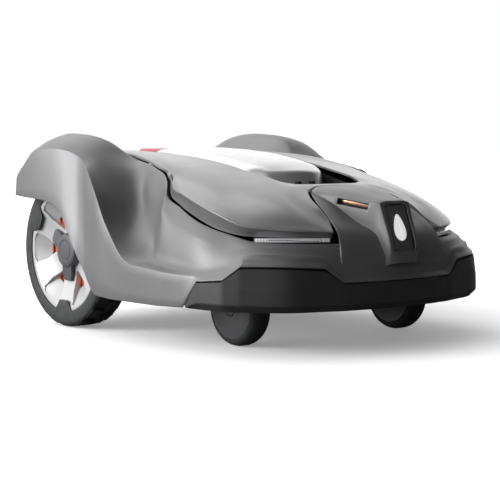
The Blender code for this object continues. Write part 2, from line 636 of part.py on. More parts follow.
def badge_plane():
    """Axes of the nose's front face: across it, up it and out of it, from the middle of the badge panel."""
    low, high = styled(0, -356.0, 143.5), styled(0, -334.0, 210)
    up = (high - low).normalized()
    out = Vector((1, 0, 0)).cross(up).normalized()
    plane = Matrix((Vector((1, 0, 0)), up, out)).transposed().to_4x4()
    plane.translation = (low + high) / 2
    return plane, (high - low).length / 2


def badge_outline(shrink):
    """The badge panel's outline, with its corners cut off."""
    half = styled(22, 0, 0).x - shrink
    tall = badge_plane()[1] - shrink
    corner = BADGE_CORNER
    quarter = [(half - corner, -tall), (half, -tall + corner), (half, tall - corner), (half - corner, tall)]
    return quarter + [(-x, y) for x, y in reversed(quarter)]


def badge():
    """A plain panel let into the front of the nose, with a generic raised leaf on it."""
    plane = badge_plane()[0]
    plate("badge_plate", badge_outline(0.0007), FIT - BADGE_RECESS, 0, DARK_GREY, plane)
    leaf = []
    for step in range(16):
        angle = -2 * math.pi * step / 16
        across = LEAF_HALF_WIDTH * math.sin(angle) * (1 - 0.35 * math.cos(angle))
        leaf.append((across, LEAF_HALF_HEIGHT * math.cos(angle)))
    plate("badge_leaf", leaf, FIT, 0.0014, RIM_SILVER, plane)


def headlight(name, side):
    """The light bar in the slot under the cover's brow."""
    front = [(110, -318), (124, -311), (146, -298), (167, -284), (184, -270), (197, -256)]
    points = [styled(x, y, 0) for x, y in front]
    back = [point + Vector((-0.006, 0.010, 0)) for point in reversed(points)]
    outline = [(point.x, point.y) for point in points + back]
    low, high = styled(0, 0, 158.8).z, styled(0, 0, 164.4).z
    lens = plate("headlight_" + name, outline, low, high, CLEAR)
    if side < 0:
        moved(lens, Matrix.Diagonal((-1, 1, 1, 1)))
        turned_out(lens)


def tail_panel():
    columns = skin_grid(TAIL_SECTIONS, (1, 1, 1, 1), (2, 2))
    return skin_object("tail_panel", columns, SKIN, DARK_GREY)


def stop_surround():
    """The fixed panel behind the hatch, with the opening that the stop button moves in."""
    low, high = styled(-76, 157.5, 268), styled(76, 288.5, 283)
    panel = box("stop_surround", low, high, DARK_GREY, 0.002)
    gap = Vector((STOP_GAP, STOP_GAP, 0))
    low, high = styled(-STOP_HALF, STOP_FRONT, 250) - gap, styled(STOP_HALF, STOP_REAR, 300) + gap
    return cut(panel, box("hole", low, high, DARK_GREY))


def stop_button():
    low, high = styled(-STOP_HALF, STOP_FRONT, 274), styled(STOP_HALF, STOP_REAR, 288.5)
    button = box("stop_button", low, high, STOP_RED, 0.0035)
    return pivoted(button, ((low + high) / 2))


def console_tray():
    """The bowl round the console, carried by the cover; the console stands up through its floor."""
    columns = skin_grid(TRAY_SECTIONS, (1,) * 8, (2, 1), creased=(1,))
    return skin_object("console_tray", columns, 0.002, BLACK)


def hatch():
    """The hatch over the console; it turns up about a pin ahead of its front edge."""
    edge_rows = {row: (5,) for row in range(5)}
    spans = (2, 2, 1, 1, 1, 1)
    columns = skin_grid(HATCH_SECTIONS, spans, (1, 1, 1, 1), edge_rows, (3,), False, flat_across=True)
    lid = skin_object("hatch", columns, SKIN, HATCH_SILVER)
    foot = styled(0, -133, 243)
    for x in (-HINGE_HALF + 0.004, HINGE_HALF - 0.004):
        low = (x - 0.003, HINGE.y - 0.002, HINGE.z)
        arm = box("arm", low, (x + 0.003, foot.y + 0.006, foot.z - 0.004), BLACK)
        eye = rod("eye", (x, HINGE.y, HINGE.z), 0.005, 0.0058, "X", BLACK, 16)
        hole = rod("hole", (x, HINGE.y, HINGE.z), HINGE_PIN_RADIUS + FIT, 0.02, "X", BLACK, 12)
        join(arm, eye)
        cut(arm, hole)
        join(lid, arm)
    return pivoted(lid, HINGE)


def hatch_pin():
    """The hatch's pin, held by two posts on the tray's floor; pin and posts are one moulding."""
    pin = rod("hatch_pin", HINGE, HINGE_PIN_RADIUS, 2 * HINGE_HALF + 0.008, "X", BLACK, 12)
    foot = TRAY_FLOOR + 0.0018
    for side in (1, -1):
        x = side * (HINGE_HALF + 0.003)
        high = (x + 0.002, HINGE.y + 0.004, HINGE.z + 0.004)
        post = box("post", (x - 0.002, HINGE.y - 0.004, foot), high, BLACK)
        join(pin, post)
    return pin


def shell_frame():
    """The two rails and rear crossbar inside the body that stand on the suspension posts."""
    low, high = FRAME_BOTTOM, FRAME_BOTTOM + RAIL_DEPTH
    rear = box("shell_frame", (-RAIL_OUTER_X - 0.0005, FRAME_REAR_Y, low),
               (RAIL_OUTER_X + 0.0005, FRAME_REAR_Y + 0.018, high), BLACK)
    for side in (1, -1):
        low_x, high_x = sorted((side * RAIL_INNER_X, side * RAIL_OUTER_X))
        front = (low_x, FRAME_FRONT_Y, low + 0.0002)
        join(rear, box("rail", front, (high_x, FRAME_REAR_Y + 0.012, high - 0.0002), BLACK))
    return rear


def suspension():
    """Four elastic posts between the chassis and the body's frame."""
    for number, (x, y) in enumerate(POSTS, 1):
        low, high = LID_TOP + FIT, FRAME_BOTTOM
        middle = (low + high) / 2
        profile = [(0, high), (POST_RADIUS, high), (POST_RADIUS * 0.7, middle), (POST_RADIUS, low), (0, low)]
        turned("suspension_post_%d" % number, profile, (x, y, 0), "Z", BLACK, 16)


# ======== the chassis ========


def chassis_outline(wall):
    """Plan of the chassis box, drawn in by the given wall: a wide rear and a neck between the casters."""
    wide, neck = CHASSIS_HALF_WIDTH - wall, NECK_HALF_WIDTH - wall
    front, rear, shoulder = NECK_FRONT_Y + wall, CHASSIS_REAR_Y - wall, CHASSIS_FRONT_Y + wall
    corner = CHASSIS_CORNER
    right = [(neck, front), (neck, shoulder - corner / 2), (wide - corner, shoulder), (wide, shoulder + corner),
             (wide, rear - corner), (wide - corner, rear)]
    return right + [(-x, y) for x, y in reversed(right)]


def chassis_base():
    """The tub: floor, walls, and an arm out to each caster's bush."""
    tub = plate("chassis_base", chassis_outline(0), CHASSIS_FLOOR, CHASSIS_SPLIT, BLACK)
    cut(tub, plate("inside", chassis_outline(CHASSIS_WALL), CHASSIS_FLOOR + CHASSIS_WALL, 0.3, BLACK))
    for side in (1, -1):
        join(tub, caster_arm(side))
        bush = (side * CASTER_X, CASTER_PIVOT_Y, CHASSIS_SPLIT)
        cut(tub, rod("bush_hole", bush, BUSH_RADIUS + FIT, 0.2, "Z", BLACK, 20))
        cut(tub, shaft_hole(side))
    cut(tub, rod("disc_shaft_hole", (0, DISC_Y, CHASSIS_FLOOR), CUT_SHAFT_RADIUS + 0.004, 0.05, "Z", BLACK, 20))
    low, high = switch_space(FIT + 0.0005)
    cut(tub, box("switch_hole", low - Vector((0, 0, 0.01)), high + Vector((0, 0, 0.01)), BLACK))
    return tub


def caster_arm(side):
    """The arm out to one caster, with the boss round its bush."""
    low_x, high_x = sorted((side * (NECK_HALF_WIDTH - 0.003), side * CASTER_X))
    low = (low_x, CASTER_PIVOT_Y - FORK_HALF_LENGTH, ARM_BOTTOM + 0.001)
    arm = box("arm", low, (high_x, CASTER_PIVOT_Y + FORK_HALF_LENGTH, ARM_TOP - 0.001), BLACK)
    middle = (side * CASTER_X, CASTER_PIVOT_Y, (ARM_BOTTOM + ARM_TOP) / 2)
    return join(arm, rod("boss", middle, BUSH_RADIUS + 0.007, ARM_TOP - ARM_BOTTOM, "Z", BLACK, 20))


def shaft_hole(side):
    """The hole in the chassis wall that a wheel motor's shaft passes through."""
    middle = (side * CHASSIS_HALF_WIDTH, AXLE_Y, WHEEL_RADIUS)
    return rod("shaft_hole", middle, SHAFT_RADIUS + 0.003, 0.03, "X", BLACK, 20)


def chassis_lid():
    """The lid, with the control console standing up from it."""
    outline = chassis_outline(0)
    lid = plate("chassis_lid", outline, CHASSIS_SPLIT + FIT, LID_TOP, BLACK)
    low = (-DECK_HALF_WIDTH, DECK_FRONT, LID_TOP - 0.0036)
    join(lid, box("deck", low, (DECK_HALF_WIDTH, DECK_REAR, DECK_TOP), BLACK, 0.003))
    cut(lid, plate("inside", chassis_outline(CHASSIS_WALL), 0.1, LID_TOP - CHASSIS_WALL, BLACK))
    for side in (1, -1):
        cut(lid, shaft_hole(side))
    for low, high in console_pockets():
        cut(lid, box("pocket", low, high, BLACK))
    return lid


def key_box(key, grow, low, high):
    x, y, half_x, half_y = KEYS[key]
    half_x, half_y = half_x + grow, half_y + grow
    return Vector((x - half_x, y - half_y, low)), Vector((x + half_x, y + half_y, high))


def console_pockets():
    """Recesses in the console's top for the keys, the arrow pad and the display."""
    pockets = [key_box(key, KEY_GAP, DECK_TOP - POCKET_DEPTH, DECK_TOP + 0.02) for key in KEYS]
    reach = ARROW_PAD_HALF + KEY_GAP
    pockets.append((Vector((-reach, ARROW_PAD_Y - reach, DECK_TOP - POCKET_DEPTH)),
                    Vector((reach, ARROW_PAD_Y + reach, DECK_TOP + 0.02))))
    pockets.append((Vector((*SCREEN_LOW, DECK_TOP - SCREEN_DEPTH)), Vector((*SCREEN_HIGH, DECK_TOP + 0.02))))
    return pockets


def keypad():
    bottom = DECK_TOP - POCKET_DEPTH + KEY_TRAVEL + FIT
    for key in KEYS:
        low, high = key_box(key, 0, bottom, bottom + KEY_HEIGHT)
        button = box(key, low, high, DARK_GREY, 0.0008)
        pivoted(button, (low + high) / 2)
    low = Vector((-ARROW_PAD_HALF, ARROW_PAD_Y - ARROW_PAD_HALF, bottom))
    high = Vector((ARROW_PAD_HALF, ARROW_PAD_Y + ARROW_PAD_HALF, bottom + KEY_HEIGHT))
    pad = box("arrow_pad", low, high, DARK_GREY, 0.0008)
    pivoted(pad, (low + high) / 2)


def display():
    edge = Vector((FIT, FIT, 0))
    low = Vector((*SCREEN_LOW, DECK_TOP - SCREEN_DEPTH + FIT)) + edge
    high = Vector((*SCREEN_HIGH, DECK_TOP - 0.003)) - edge
    box("display_screen", low, high, BOARD_GREEN)
    low.z, high.z = DECK_TOP - 0.003 + FIT, DECK_TOP - 0.0005
    box("display_glass", low, high, GLASS)


def switch_space(grow):
    centre = Vector((0.085, 0.262, CHASSIS_FLOOR + 0.001))
    half = Vector((0.008 + grow, 0.012 + grow, 0.0045))
    return centre - half, centre + half


def main_switch():
    """The rocker under the chassis, on a pivot across its middle."""
    low, high = switch_space(0)
    rocker = box("main_switch", low + Vector((0, 0, 0.0005)), high, BLACK, 0.001)
    return pivoted(rocker, (low + high) / 2)


def chassis_inside():
    floor = CHASSIS_FLOOR + CHASSIS_WALL + FIT
    rear = CHASSIS_REAR_Y - CHASSIS_WALL - 0.009
    half = BATTERY_HALF_WIDTH
    front = AXLE_Y + MOTOR_RADIUS + 0.004
    box("battery_pack", (-half, front, floor), (half, rear, floor + BATTERY_HEIGHT), CELL_BLUE, 0.004)
    front = AXLE_Y - MOTOR_RADIUS - 0.005
    half -= 0.002
    box("main_board", (-half, front, BOARD_BOTTOM), (half, rear, BOARD_BOTTOM + 0.0022), BOARD_GREEN)
    both(wheel_motor)


def wheel_motor(name, side):
    """The motor against the chassis wall, with the shaft that carries the wheel."""
    middle = CHASSIS_HALF_WIDTH - CHASSIS_WALL - FIT - MOTOR_LENGTH / 2
    start, end = CHASSIS_HALF_WIDTH - 0.020, WHEEL_OUTER_X - DISH_DEPTH - 0.003
    motor = rod("wheel_motor_" + name, (side * middle, AXLE_Y, WHEEL_RADIUS), MOTOR_RADIUS, MOTOR_LENGTH, "X",
                DARK_GREY, 32)
    shaft = (side * (end + start) / 2, AXLE_Y, WHEEL_RADIUS)
    join(motor, rod("shaft", shaft, SHAFT_RADIUS, end - start, "X", STEEL, 20))


def carry_handle():
    """A grab handle across the back of the chassis, below the tail."""
    y, z, reach = CHASSIS_REAR_Y + 0.0005, 0.112, 0.030
    path = [(-0.055, y, z), (-0.055, y + reach - 0.006, z), (-0.049, y + reach, z), (0.049, y + reach, z),
            (0.055, y + reach - 0.006, z), (0.055, y, z)]
    return tube("carry_handle", path, 0.006, BLACK)


# ======== the cutting system ========


def cutting_motor():
    """The disc's motor with the nut that rides on the height screw."""
    middle = MOTOR_BOTTOM + CUT_MOTOR_HEIGHT / 2
    motor = rod("cutting_motor", (0, DISC_Y, middle), CUT_MOTOR_RADIUS, CUT_MOTOR_HEIGHT, "Z", DARK_GREY, 32)
    arm = box("arm", (CUT_MOTOR_RADIUS - 0.006, DISC_Y - 0.009, middle - 0.009),
              (SCREW_X + 0.009, DISC_Y + 0.009, middle + 0.009), DARK_GREY)
    join(motor, arm)
    cut(motor, rod("nut_hole", (SCREW_X, DISC_Y, middle), LIFT_SCREW_RADIUS + RUNNING_FIT, 0.2, "Z", STEEL, 16))
    low = CUT_HEIGHT + DISC_THICKNESS + 0.002
    high = MOTOR_BOTTOM + 0.004
    join(motor, rod("shaft", (0, DISC_Y, (low + high) / 2), CUT_SHAFT_RADIUS, high - low, "Z", STEEL, 20))
    length = low - SKID_TOP + 0.006
    join(motor, rod("stub", (0, DISC_Y, (SKID_TOP + low) / 2), SKID_STUB_RADIUS, length, "Z", STEEL, 16))
    return motor


def height_screw():
    """The threaded spindle that raises and lowers the cutting system, with its drive gear on top."""
    bottom = CHASSIS_FLOOR + CHASSIS_WALL + FIT
    top = LID_TOP - CHASSIS_WALL - 0.016
    thread = LIFT_SCREW_RADIUS
    profile = [(0, top), (0.010, top), (0.010, top - 0.005), (thread, top - 0.005), (thread, bottom),
               (0, bottom)]
    return turned("height_screw", profile, (SCREW_X, DISC_Y, 0), "Z", STEEL, 16)


def height_motor():
    """The small motor beside the screw, hung from the lid, with a pinion that meets the screw's gear."""
    top = LID_TOP - CHASSIS_WALL - FIT
    x = SCREW_X + 0.010 + 0.011 + 0.002
    profile = [(0, top), (0.011, top), (0.011, top - 0.013), (0.0095, top - 0.013), (0.0095, top - 0.040),
               (0, top - 0.040)]
    return turned("height_motor", profile, (x, DISC_Y, 0), "Z", DARK_GREY, 20)


def blade_disc():
    """The disc that carries three loose blades on studs below it."""
    top, bottom = CUT_HEIGHT + DISC_THICKNESS, CUT_HEIGHT
    bore = SKID_STUB_RADIUS + RUNNING_FIT
    profile = [(bore, top), (0.020, top), (DISC_RADIUS, top - 0.001), (DISC_RADIUS, bottom), (bore, bottom)]
    disc = turned("blade_disc", profile, (0, DISC_Y, 0), "Z", BLACK, 32, closed=True)
    for x, y in blade_pivots():
        join(disc, rod("stud", (x, y, bottom - 0.0018), BLADE_STUD_RADIUS, 0.0046, "Z", STEEL, 12))
        join(disc, rod("stud_head", (x, y, bottom - 0.0046), 0.0035, 0.0012, "Z", STEEL, 12))
    return disc


def blade_pivots():
    angles = [2 * math.pi * i / BLADE_COUNT + math.pi / 2 for i in range(BLADE_COUNT)]
    return [(BLADE_PIVOT * math.cos(a), DISC_Y + BLADE_PIVOT * math.sin(a)) for a in angles]


def blades():
    top = CUT_HEIGHT - 0.0008
    half = BLADE_WIDTH / 2
    for number, (x, y) in enumerate(blade_pivots(), 1):
        tip = BLADE_LENGTH - 0.006
        outline = [(-0.006, -half), (tip - 0.003, -half), (tip, -half + 0.003), (tip, half - 0.003),
                   (tip - 0.003, half), (-0.006, half)]
        blade = plate("blade_%d" % number, outline, top - BLADE_THICKNESS, top, STEEL)
        cut(blade, rod("hole", (0, 0, top), BLADE_STUD_RADIUS + RUNNING_FIT, 0.02, "Z", STEEL, 12))
        angle = math.atan2(y - DISC_Y, x)
        moved(blade, Matrix.Translation((x, y, 0)) @ Matrix.Rotation(angle, 4, "Z"))
        pivoted(blade, (x, y, top - BLADE_THICKNESS / 2))


def skid_plate():
    """The free-turning saucer below the disc that slides over the grass."""
    top, depth = SKID_TOP, 0.004
    bore = SKID_STUB_RADIUS + RUNNING_FIT
    profile = [(bore, top), (SKID_RADIUS - 0.006, top), (SKID_RADIUS, top + 0.003), (SKID_RADIUS, top + 0.0015),
               (SKID_RADIUS - 0.010, top - depth + 0.001), (0.012, top - depth), (bore, top - depth)]
    return turned("skid_plate", profile, (0, DISC_Y, 0), "Z", BLACK, 28, closed=True)


# ======== the casters ========


def caster(name, side):
    x, y = side * CASTER_X, CASTER_Y
    hub = Vector((x, y, CASTER_RADIUS))
    inner = -side  # the fork's single arm stands on the mower's inner side
    arm_x = x + inner * (CASTER_WIDTH / 2 + CASTER_GAP + FORK_WALL / 2)
    block_low, block_high = 2 * CASTER_RADIUS + 0.004, ARM_BOTTOM - 0.002
    low_x, high_x = sorted((arm_x + inner * FORK_WALL / 2, x - inner * 0.012))
    low_y, high_y = CASTER_PIVOT_Y - FORK_HALF_LENGTH, y + FORK_HALF_LENGTH
    block = box("caster_fork_" + name, (low_x, low_y, block_low), (high_x, high_y, block_high), DARK_GREY)
    low_x, high_x = sorted((arm_x - FORK_WALL / 2 + 0.0005, arm_x + FORK_WALL / 2 - 0.0005))
    arm = box("arm", (low_x, y - 0.013, CASTER_RADIUS), (high_x, y + 0.013, block_high - 0.002), DARK_GREY)
    foot = rod("foot", (arm_x, y, CASTER_RADIUS), FORK_HALF_LENGTH, FORK_WALL, "X", DARK_GREY, 20)
    join(arm, foot)
    join(block, arm)
    pin = rod("pin", (x, CASTER_PIVOT_Y, (block_high + ARM_TOP) / 2 - 0.001), CASTER_PIN_RADIUS,
              ARM_TOP - block_high + 0.004, "Z", STEEL, 20)
    join(block, pin)
    axle_end = x - inner * (CASTER_WIDTH / 2 - 0.002)
    middle, length = ((arm_x + axle_end) / 2, y, CASTER_RADIUS), abs(arm_x - axle_end)
    join(block, rod("axle", middle, CASTER_AXLE_RADIUS, length, "X", STEEL, 16))
    pivoted(block, (x, CASTER_PIVOT_Y, block_high))
    bush = [(CASTER_PIN_RADIUS + RUNNING_FIT, ARM_TOP), (BUSH_RADIUS, ARM_TOP),
            (BUSH_RADIUS, ARM_BOTTOM), (CASTER_PIN_RADIUS + RUNNING_FIT, ARM_BOTTOM)]
    turned("caster_bush_" + name, bush, (x, CASTER_PIVOT_Y, 0), "Z", BLACK, 20, closed=True)
    caster_wheel(name, side, hub)


def caster_wheel(name, side, hub):
    """A smooth roller with rounded shoulders; its outer face is closed by a cap over the axle's end."""
    face = CASTER_WIDTH / 2
    radius = CASTER_RADIUS
    bore = CASTER_AXLE_RADIUS + RUNNING_FIT
    profile = [
        (0.0, face), (0.016, face), (0.017, face - 0.0015), (radius - 0.011, face - 0.0015),
        (radius - 0.006, face - 0.001), (radius - 0.0015, face - 0.006), (radius, face - 0.012),
        (radius, -face + 0.012), (radius - 0.0015, -face + 0.006), (radius - 0.006, -face + 0.001),
        (radius - 0.012, -face), (bore, -face), (bore, face - 0.0015), (0.0, face - 0.0015),
    ]
    wheel = turned("caster_wheel_" + name, profile, (0, 0, 0), "X", RUBBER, 28)
    if side < 0:
        moved(wheel, Matrix.Diagonal((-1, 1, 1, 1)))
        turned_out(wheel)
    moved(wheel, Matrix.Translation(hub))
    return pivoted(wheel, hub)


# ======== the rear wheels ========


def wheel_plane():
    """A drawing plane across the wheel: its first axis points back, its second up, and it faces outwards."""
    return Matrix(((0, 0, 1, 0), (1, 0, 0, 0), (0, 1, 0, 0), (0, 0, 0, 1)))


def turned_to(angle, outline):
    """The outline turned about the wheel's centre."""
    turn = Matrix.Rotation(angle, 2)
    return [tuple(turn @ Vector(point)) for point in outline]


def wedge(name, grow, low, high, made_of):
    """The three tongues of the tyre that reach in over the rim's face."""
    tongues = []
    for number in range(WEDGE_COUNT):
        middle = WEDGE_TURN + 2 * math.pi * number / WEDGE_COUNT
        inner, outer = RIM_EDGE - WEDGE_REACH - grow, RIM_EDGE + 0.004
        narrow, wide = math.radians(8) + grow / inner, math.radians(15) + grow / outer
        outline = [(inner * math.cos(middle - narrow), inner * math.sin(middle - narrow)),
                   (outer * math.cos(middle - wide), outer * math.sin(middle - wide)),
                   (outer * math.cos(middle), outer * math.sin(middle)),
                   (outer * math.cos(middle + wide), outer * math.sin(middle + wide)),
                   (inner * math.cos(middle + narrow), inner * math.sin(middle + narrow))]
        tongues.append(plate(name, outline, low, high, made_of, wheel_plane()))
    return tongues


def tyre():
    """Tread with bevelled lugs on a ring, and three tongues over the rim."""
    foot = WHEEL_RADIUS - LUG_DEPTH
    half = WHEEL_WIDTH / 2
    profile = [(RIM_EDGE + FIT, half - 0.001), (RIM_EDGE + 0.004, half), (foot - 0.004, half - 0.001),
               (foot, half - 0.006), (foot, -half + 0.006), (foot - 0.004, -half), (RIM_EDGE + FIT, -half)]
    steps = LUG_COUNT * LUG_STEPS
    ring = turned("tyre", profile, (0, 0, 0), "X", RUBBER, steps, closed=True)
    for vert in ring.data.vertices:
        radius = math.hypot(vert.co.y, vert.co.z)
        step = round(math.atan2(vert.co.y, -vert.co.z) / (2 * math.pi) * steps) % LUG_STEPS
        if radius > foot - 0.001 and step != 1:
            vert.co.y *= WHEEL_RADIUS / radius
            vert.co.z *= WHEEL_RADIUS / radius
    return join(ring, *wedge("tongue", 0, half - WEDGE_STEP, half - 0.0004, RUBBER))


def rim():
    """A dished rim: barrel, face with six openings between its spokes, and the hub round the shaft."""
    half = WHEEL_WIDTH / 2
    face = half - 0.002
    dish = half - DISH_DEPTH
    bore = SHAFT_RADIUS + FIT
    profile = [
        (bore, dish), (HUB_RADIUS, dish), (HUB_RADIUS + 0.020, dish + 0.002),
        (FACE_RADIUS - 0.006, face - 0.003),
        (RIM_EDGE, face), (RIM_EDGE, -half + 0.001), (RIM_EDGE - RIM_WALL, -half + 0.001),
        (RIM_EDGE - RIM_WALL, face - 0.012), (HUB_RADIUS + 0.020, dish - RIM_WALL),
        (HUB_RADIUS - 0.006, dish - RIM_WALL), (HUB_RADIUS - 0.012, -half + 0.010), (bore, -half + 0.010),
    ]
    body = turned("rim", profile, (0, 0, 0), "X", RIM_SILVER, 36, closed=True)
    for number in range(SPOKE_COUNT):
        middle = 2 * math.pi * number / SPOKE_COUNT
        outline = [(0.038, -0.002), (0.0605, -0.0135), (0.0635, -0.011), (0.0635, 0.011), (0.0605, 0.0135),
                   (0.038, 0.002)]
        cut(body, plate("opening", turned_to(middle, outline), -half, half, RIM_SILVER, wheel_plane()))
    return cut(body, *wedge("notch", 0.0006, half - WEDGE_STEP - FIT, half + 0.01, RIM_SILVER))


def rim_insert():
    """The orange disc seen through the rim's openings."""
    back = WHEEL_WIDTH / 2 - DISH_DEPTH - RIM_WALL - FIT
    inner, outer = HUB_RADIUS - 0.004, RIM_EDGE - RIM_WALL - 0.012
    profile = [(inner, back), (outer, back), (outer, back - 0.002), (inner, back - 0.002)]
    return turned("rim_insert", profile, (0, 0, 0), "X", ORANGE, 28, closed=True)


def hub_cap():
    """The cap over the shaft's end, with an arm out along every second spoke."""
    foot = WHEEL_WIDTH / 2 - DISH_DEPTH + FIT
    top = foot + HUB_CAP_HEIGHT
    radius = HUB_RADIUS - 0.002
    profile = [(0, top), (radius - 0.006, top), (radius, top - 0.004), (radius, foot), (0, foot)]
    cap = turned("hub_cap", profile, (0, 0, 0), "X", DARK_GREY, 28)
    for number in range(WEDGE_COUNT):
        middle = WEDGE_TURN + 2 * math.pi * number / WEDGE_COUNT
        outline = [(0.010, -0.010), (0.040, -0.009), (0.046, -0.006), (0.046, 0.006), (0.040, 0.009),
                   (0.010, 0.010)]
        low, high = foot + 0.0025, top - 0.002
        join(cap, plate("arm", turned_to(middle, outline), low, high, DARK_GREY, wheel_plane()))
    return cap


def rear_wheel(name, side):
    centre = Vector((side * (WHEEL_INNER_X + WHEEL_WIDTH / 2), AXLE_Y, WHEEL_RADIUS))
    makers = {"rear_tyre_": tyre, "rear_rim_": rim, "rim_insert_": rim_insert, "hub_cap_": hub_cap}
    for node, maker in makers.items():
        piece = maker()
        piece.name = node + name
        if side < 0:
            moved(piece, Matrix.Diagonal((-1, 1, 1, 1)))
            turned_out(piece)
        moved(piece, Matrix.Translation(centre))
        pivoted(piece, centre)


def build():
    body_shell()
    top_cover()
    front_bumper()
    badge()
    both(headlight)
    both(contacts)
    tail_panel()
    stop_surround()
    stop_button()
    console_tray()
    hatch()
    hatch_pin()
    shell_frame()
    suspension()
    chassis_base()
    chassis_lid()
    keypad()
    display()
    main_switch()
    chassis_inside()
    carry_handle()
    cutting_motor()
    height_screw()
    height_motor()
    blade_disc()
    blades()
    skid_plate()
    both(caster)
    both(rear_wheel)


build()
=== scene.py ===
"""Looks of the robotic lawn mower: fine surfaces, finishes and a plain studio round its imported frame."""

import json
import math

import bmesh
import bpy
from bpy.props import FloatProperty, FloatVectorProperty, IntProperty, PointerProperty
from mathutils import Matrix, Vector


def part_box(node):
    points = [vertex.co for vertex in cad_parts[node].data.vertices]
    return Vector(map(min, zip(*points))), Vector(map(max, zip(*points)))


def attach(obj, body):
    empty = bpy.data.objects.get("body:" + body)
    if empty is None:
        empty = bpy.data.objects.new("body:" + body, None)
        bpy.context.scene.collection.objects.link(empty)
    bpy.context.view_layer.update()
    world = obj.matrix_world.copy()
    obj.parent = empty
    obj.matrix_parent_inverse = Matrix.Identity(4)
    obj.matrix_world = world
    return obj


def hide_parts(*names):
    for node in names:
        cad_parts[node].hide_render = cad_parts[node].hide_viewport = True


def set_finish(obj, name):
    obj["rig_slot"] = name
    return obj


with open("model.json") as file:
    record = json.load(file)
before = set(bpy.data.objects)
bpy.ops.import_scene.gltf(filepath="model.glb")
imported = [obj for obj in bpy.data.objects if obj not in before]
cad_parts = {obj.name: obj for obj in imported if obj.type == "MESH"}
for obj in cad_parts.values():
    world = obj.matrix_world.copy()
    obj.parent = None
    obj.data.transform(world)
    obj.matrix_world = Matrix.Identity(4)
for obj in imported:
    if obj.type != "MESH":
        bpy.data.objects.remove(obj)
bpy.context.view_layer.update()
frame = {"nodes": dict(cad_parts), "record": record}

bl_info = {
    "name": "Robotic lawn mower",
    "version": (1, 0, 0),
    "blender": (4, 5, 0),
    "location": "View3D > Sidebar > Mower",
    "description": "Builds the outer surfaces and finishes of a robotic lawn mower",
    "category": "Object",
}

SKIN = 0.003  # wall of the moulded panels
FIT = 0.0003  # gap between pieces that are pushed together
CLEAR = 0.010  # how far a cutter stands out of the surface that it cuts
MERGE = 1e-6  # points closer than this are one point
WHITE = (1, 1, 1, 1)
MIRROR_X = Matrix.Diagonal((-1, 1, 1, 1))
SIDES = (("left", 1), ("right", -1))

# All sections are in millimetres, for the mower's left half; the right half is its mirror image.
# ---- the body's outer surface: upright sections from the hem up to the cover's seam ----
BODY_SECTIONS = [
    ((0, -358, 103), (0, -353, 110), (0, -351, 122), (0, -346, 135), (0, -340, 148), (0, -333, 160)),
    ((60, -355, 103), (60, -350, 110), (60, -348, 122), (60, -343, 135), (59, -337, 148), (58, -330, 160)),
    ((106, -346, 103), (103, -341, 110), (103, -339, 122), (103, -335, 135), (102, -330, 147), (101, -325, 157)),
    ((133, -335, 124), (129, -331, 131), (128, -329, 136), (127, -325, 142), (126, -321, 150), (124, -315, 157)),
    ((186, -314, 127), (183, -309, 134), (180, -306, 140), (177, -302, 146), (173, -297, 152), (167, -290, 158)),
    ((236, -271, 128), (228, -267, 135), (224, -264, 141), (220, -261, 147), (213, -260, 153), (200, -260, 160)),
    ((251, -249, 108), (245, -245, 115), (239, -238, 123), (232, -231, 139), (223, -222, 156), (212, -216, 169)),
    ((260, -200, 103), (256, -198, 110), (250, -196, 116), (244, -190, 140), (234, -180, 164), (219, -172, 179)),
    ((263, -170, 63), (264, -164, 110), (249, -150, 119), (244, -145, 148), (234, -137, 173), (218, -132, 191)),
    ((273, -122, 62), (272, -132, 112), (248, -110, 122), (242, -108, 155), (231, -104, 182), (214, -99, 204)),
    ((276, -75, 62), (276, -78, 117), (245, -77, 127), (240, -75, 165), (228, -70, 198), (211, -63, 220)),
    ((277, -50, 62), (277, -54, 119), (239, -60, 135), (226, -59, 168), (215, -56, 209), (204, -52, 241)),
    ((279, 10, 63), (276, 4, 168), (246, -2, 166), (213, 0, 176), (203, 2, 222), (188, 0, 260)),
    ((279, 40, 67), (275, 40, 222), (248, 37, 218), (197, 38, 227), (188, 34, 249), (180, 28, 265)),
    ((279, 55, 82), (265, 78, 256), (242, 74, 254), (208, 66, 256), (184, 62, 262), (172, 58, 269)),
    ((278, 68, 98), (256, 104, 268), (238, 103, 276), (206, 101, 281), (178, 100, 280), (164, 86, 272)),
    ((277, 90, 120), (254, 120, 277), (240, 119, 285), (214, 118, 292), (184, 118, 293), (160, 110, 275)),
    ((277, 112, 150), (256, 138, 284), (243, 137, 292), (218, 136, 301), (191, 136, 303), (153, 135, 277)),
    ((275, 155, 196), (262, 162, 289), (245, 162, 299), (222, 163, 307), (197, 165, 310), (149, 172, 279)),
    ((275, 185, 204), (267, 192, 290), (245, 196, 301), (222, 200, 309), (197, 202, 313), (147, 205, 279)),
    ((275, 220, 207), (271, 228, 286), (242, 236, 300), (220, 240, 309), (194, 242, 314), (145, 245, 278)),
    ((273, 262, 209), (272, 262, 262), (238, 275, 286), (212, 282, 300), (188, 285, 308), (143, 285, 275)),
    ((268, 296, 211), (266, 296, 238), (235, 308, 262), (208, 318, 280), (180, 324, 290), (138, 318, 271)),
    ((240, 318, 208), (236, 320, 225), (212, 330, 250), (185, 338, 268), (155, 342, 277), (125, 335, 268)),
    ((195, 333, 203), (192, 338, 213), (180, 346, 235), (160, 350, 256), (132, 352, 268), (105, 345, 265)),
    ((174, 337, 130), (172, 344, 140), (160, 352, 180), (140, 356, 225), (105, 356, 255), (80, 349, 261)),
    ((150, 345, 96), (148, 351, 103), (130, 356, 150), (105, 358, 210), (75, 357, 247), (50, 350, 259)),
    ((0, 350, 93), (0, 357, 100), (0, 359.5, 150), (0, 359.5, 210), (0, 357.5, 246), (0, 352, 258)),
]
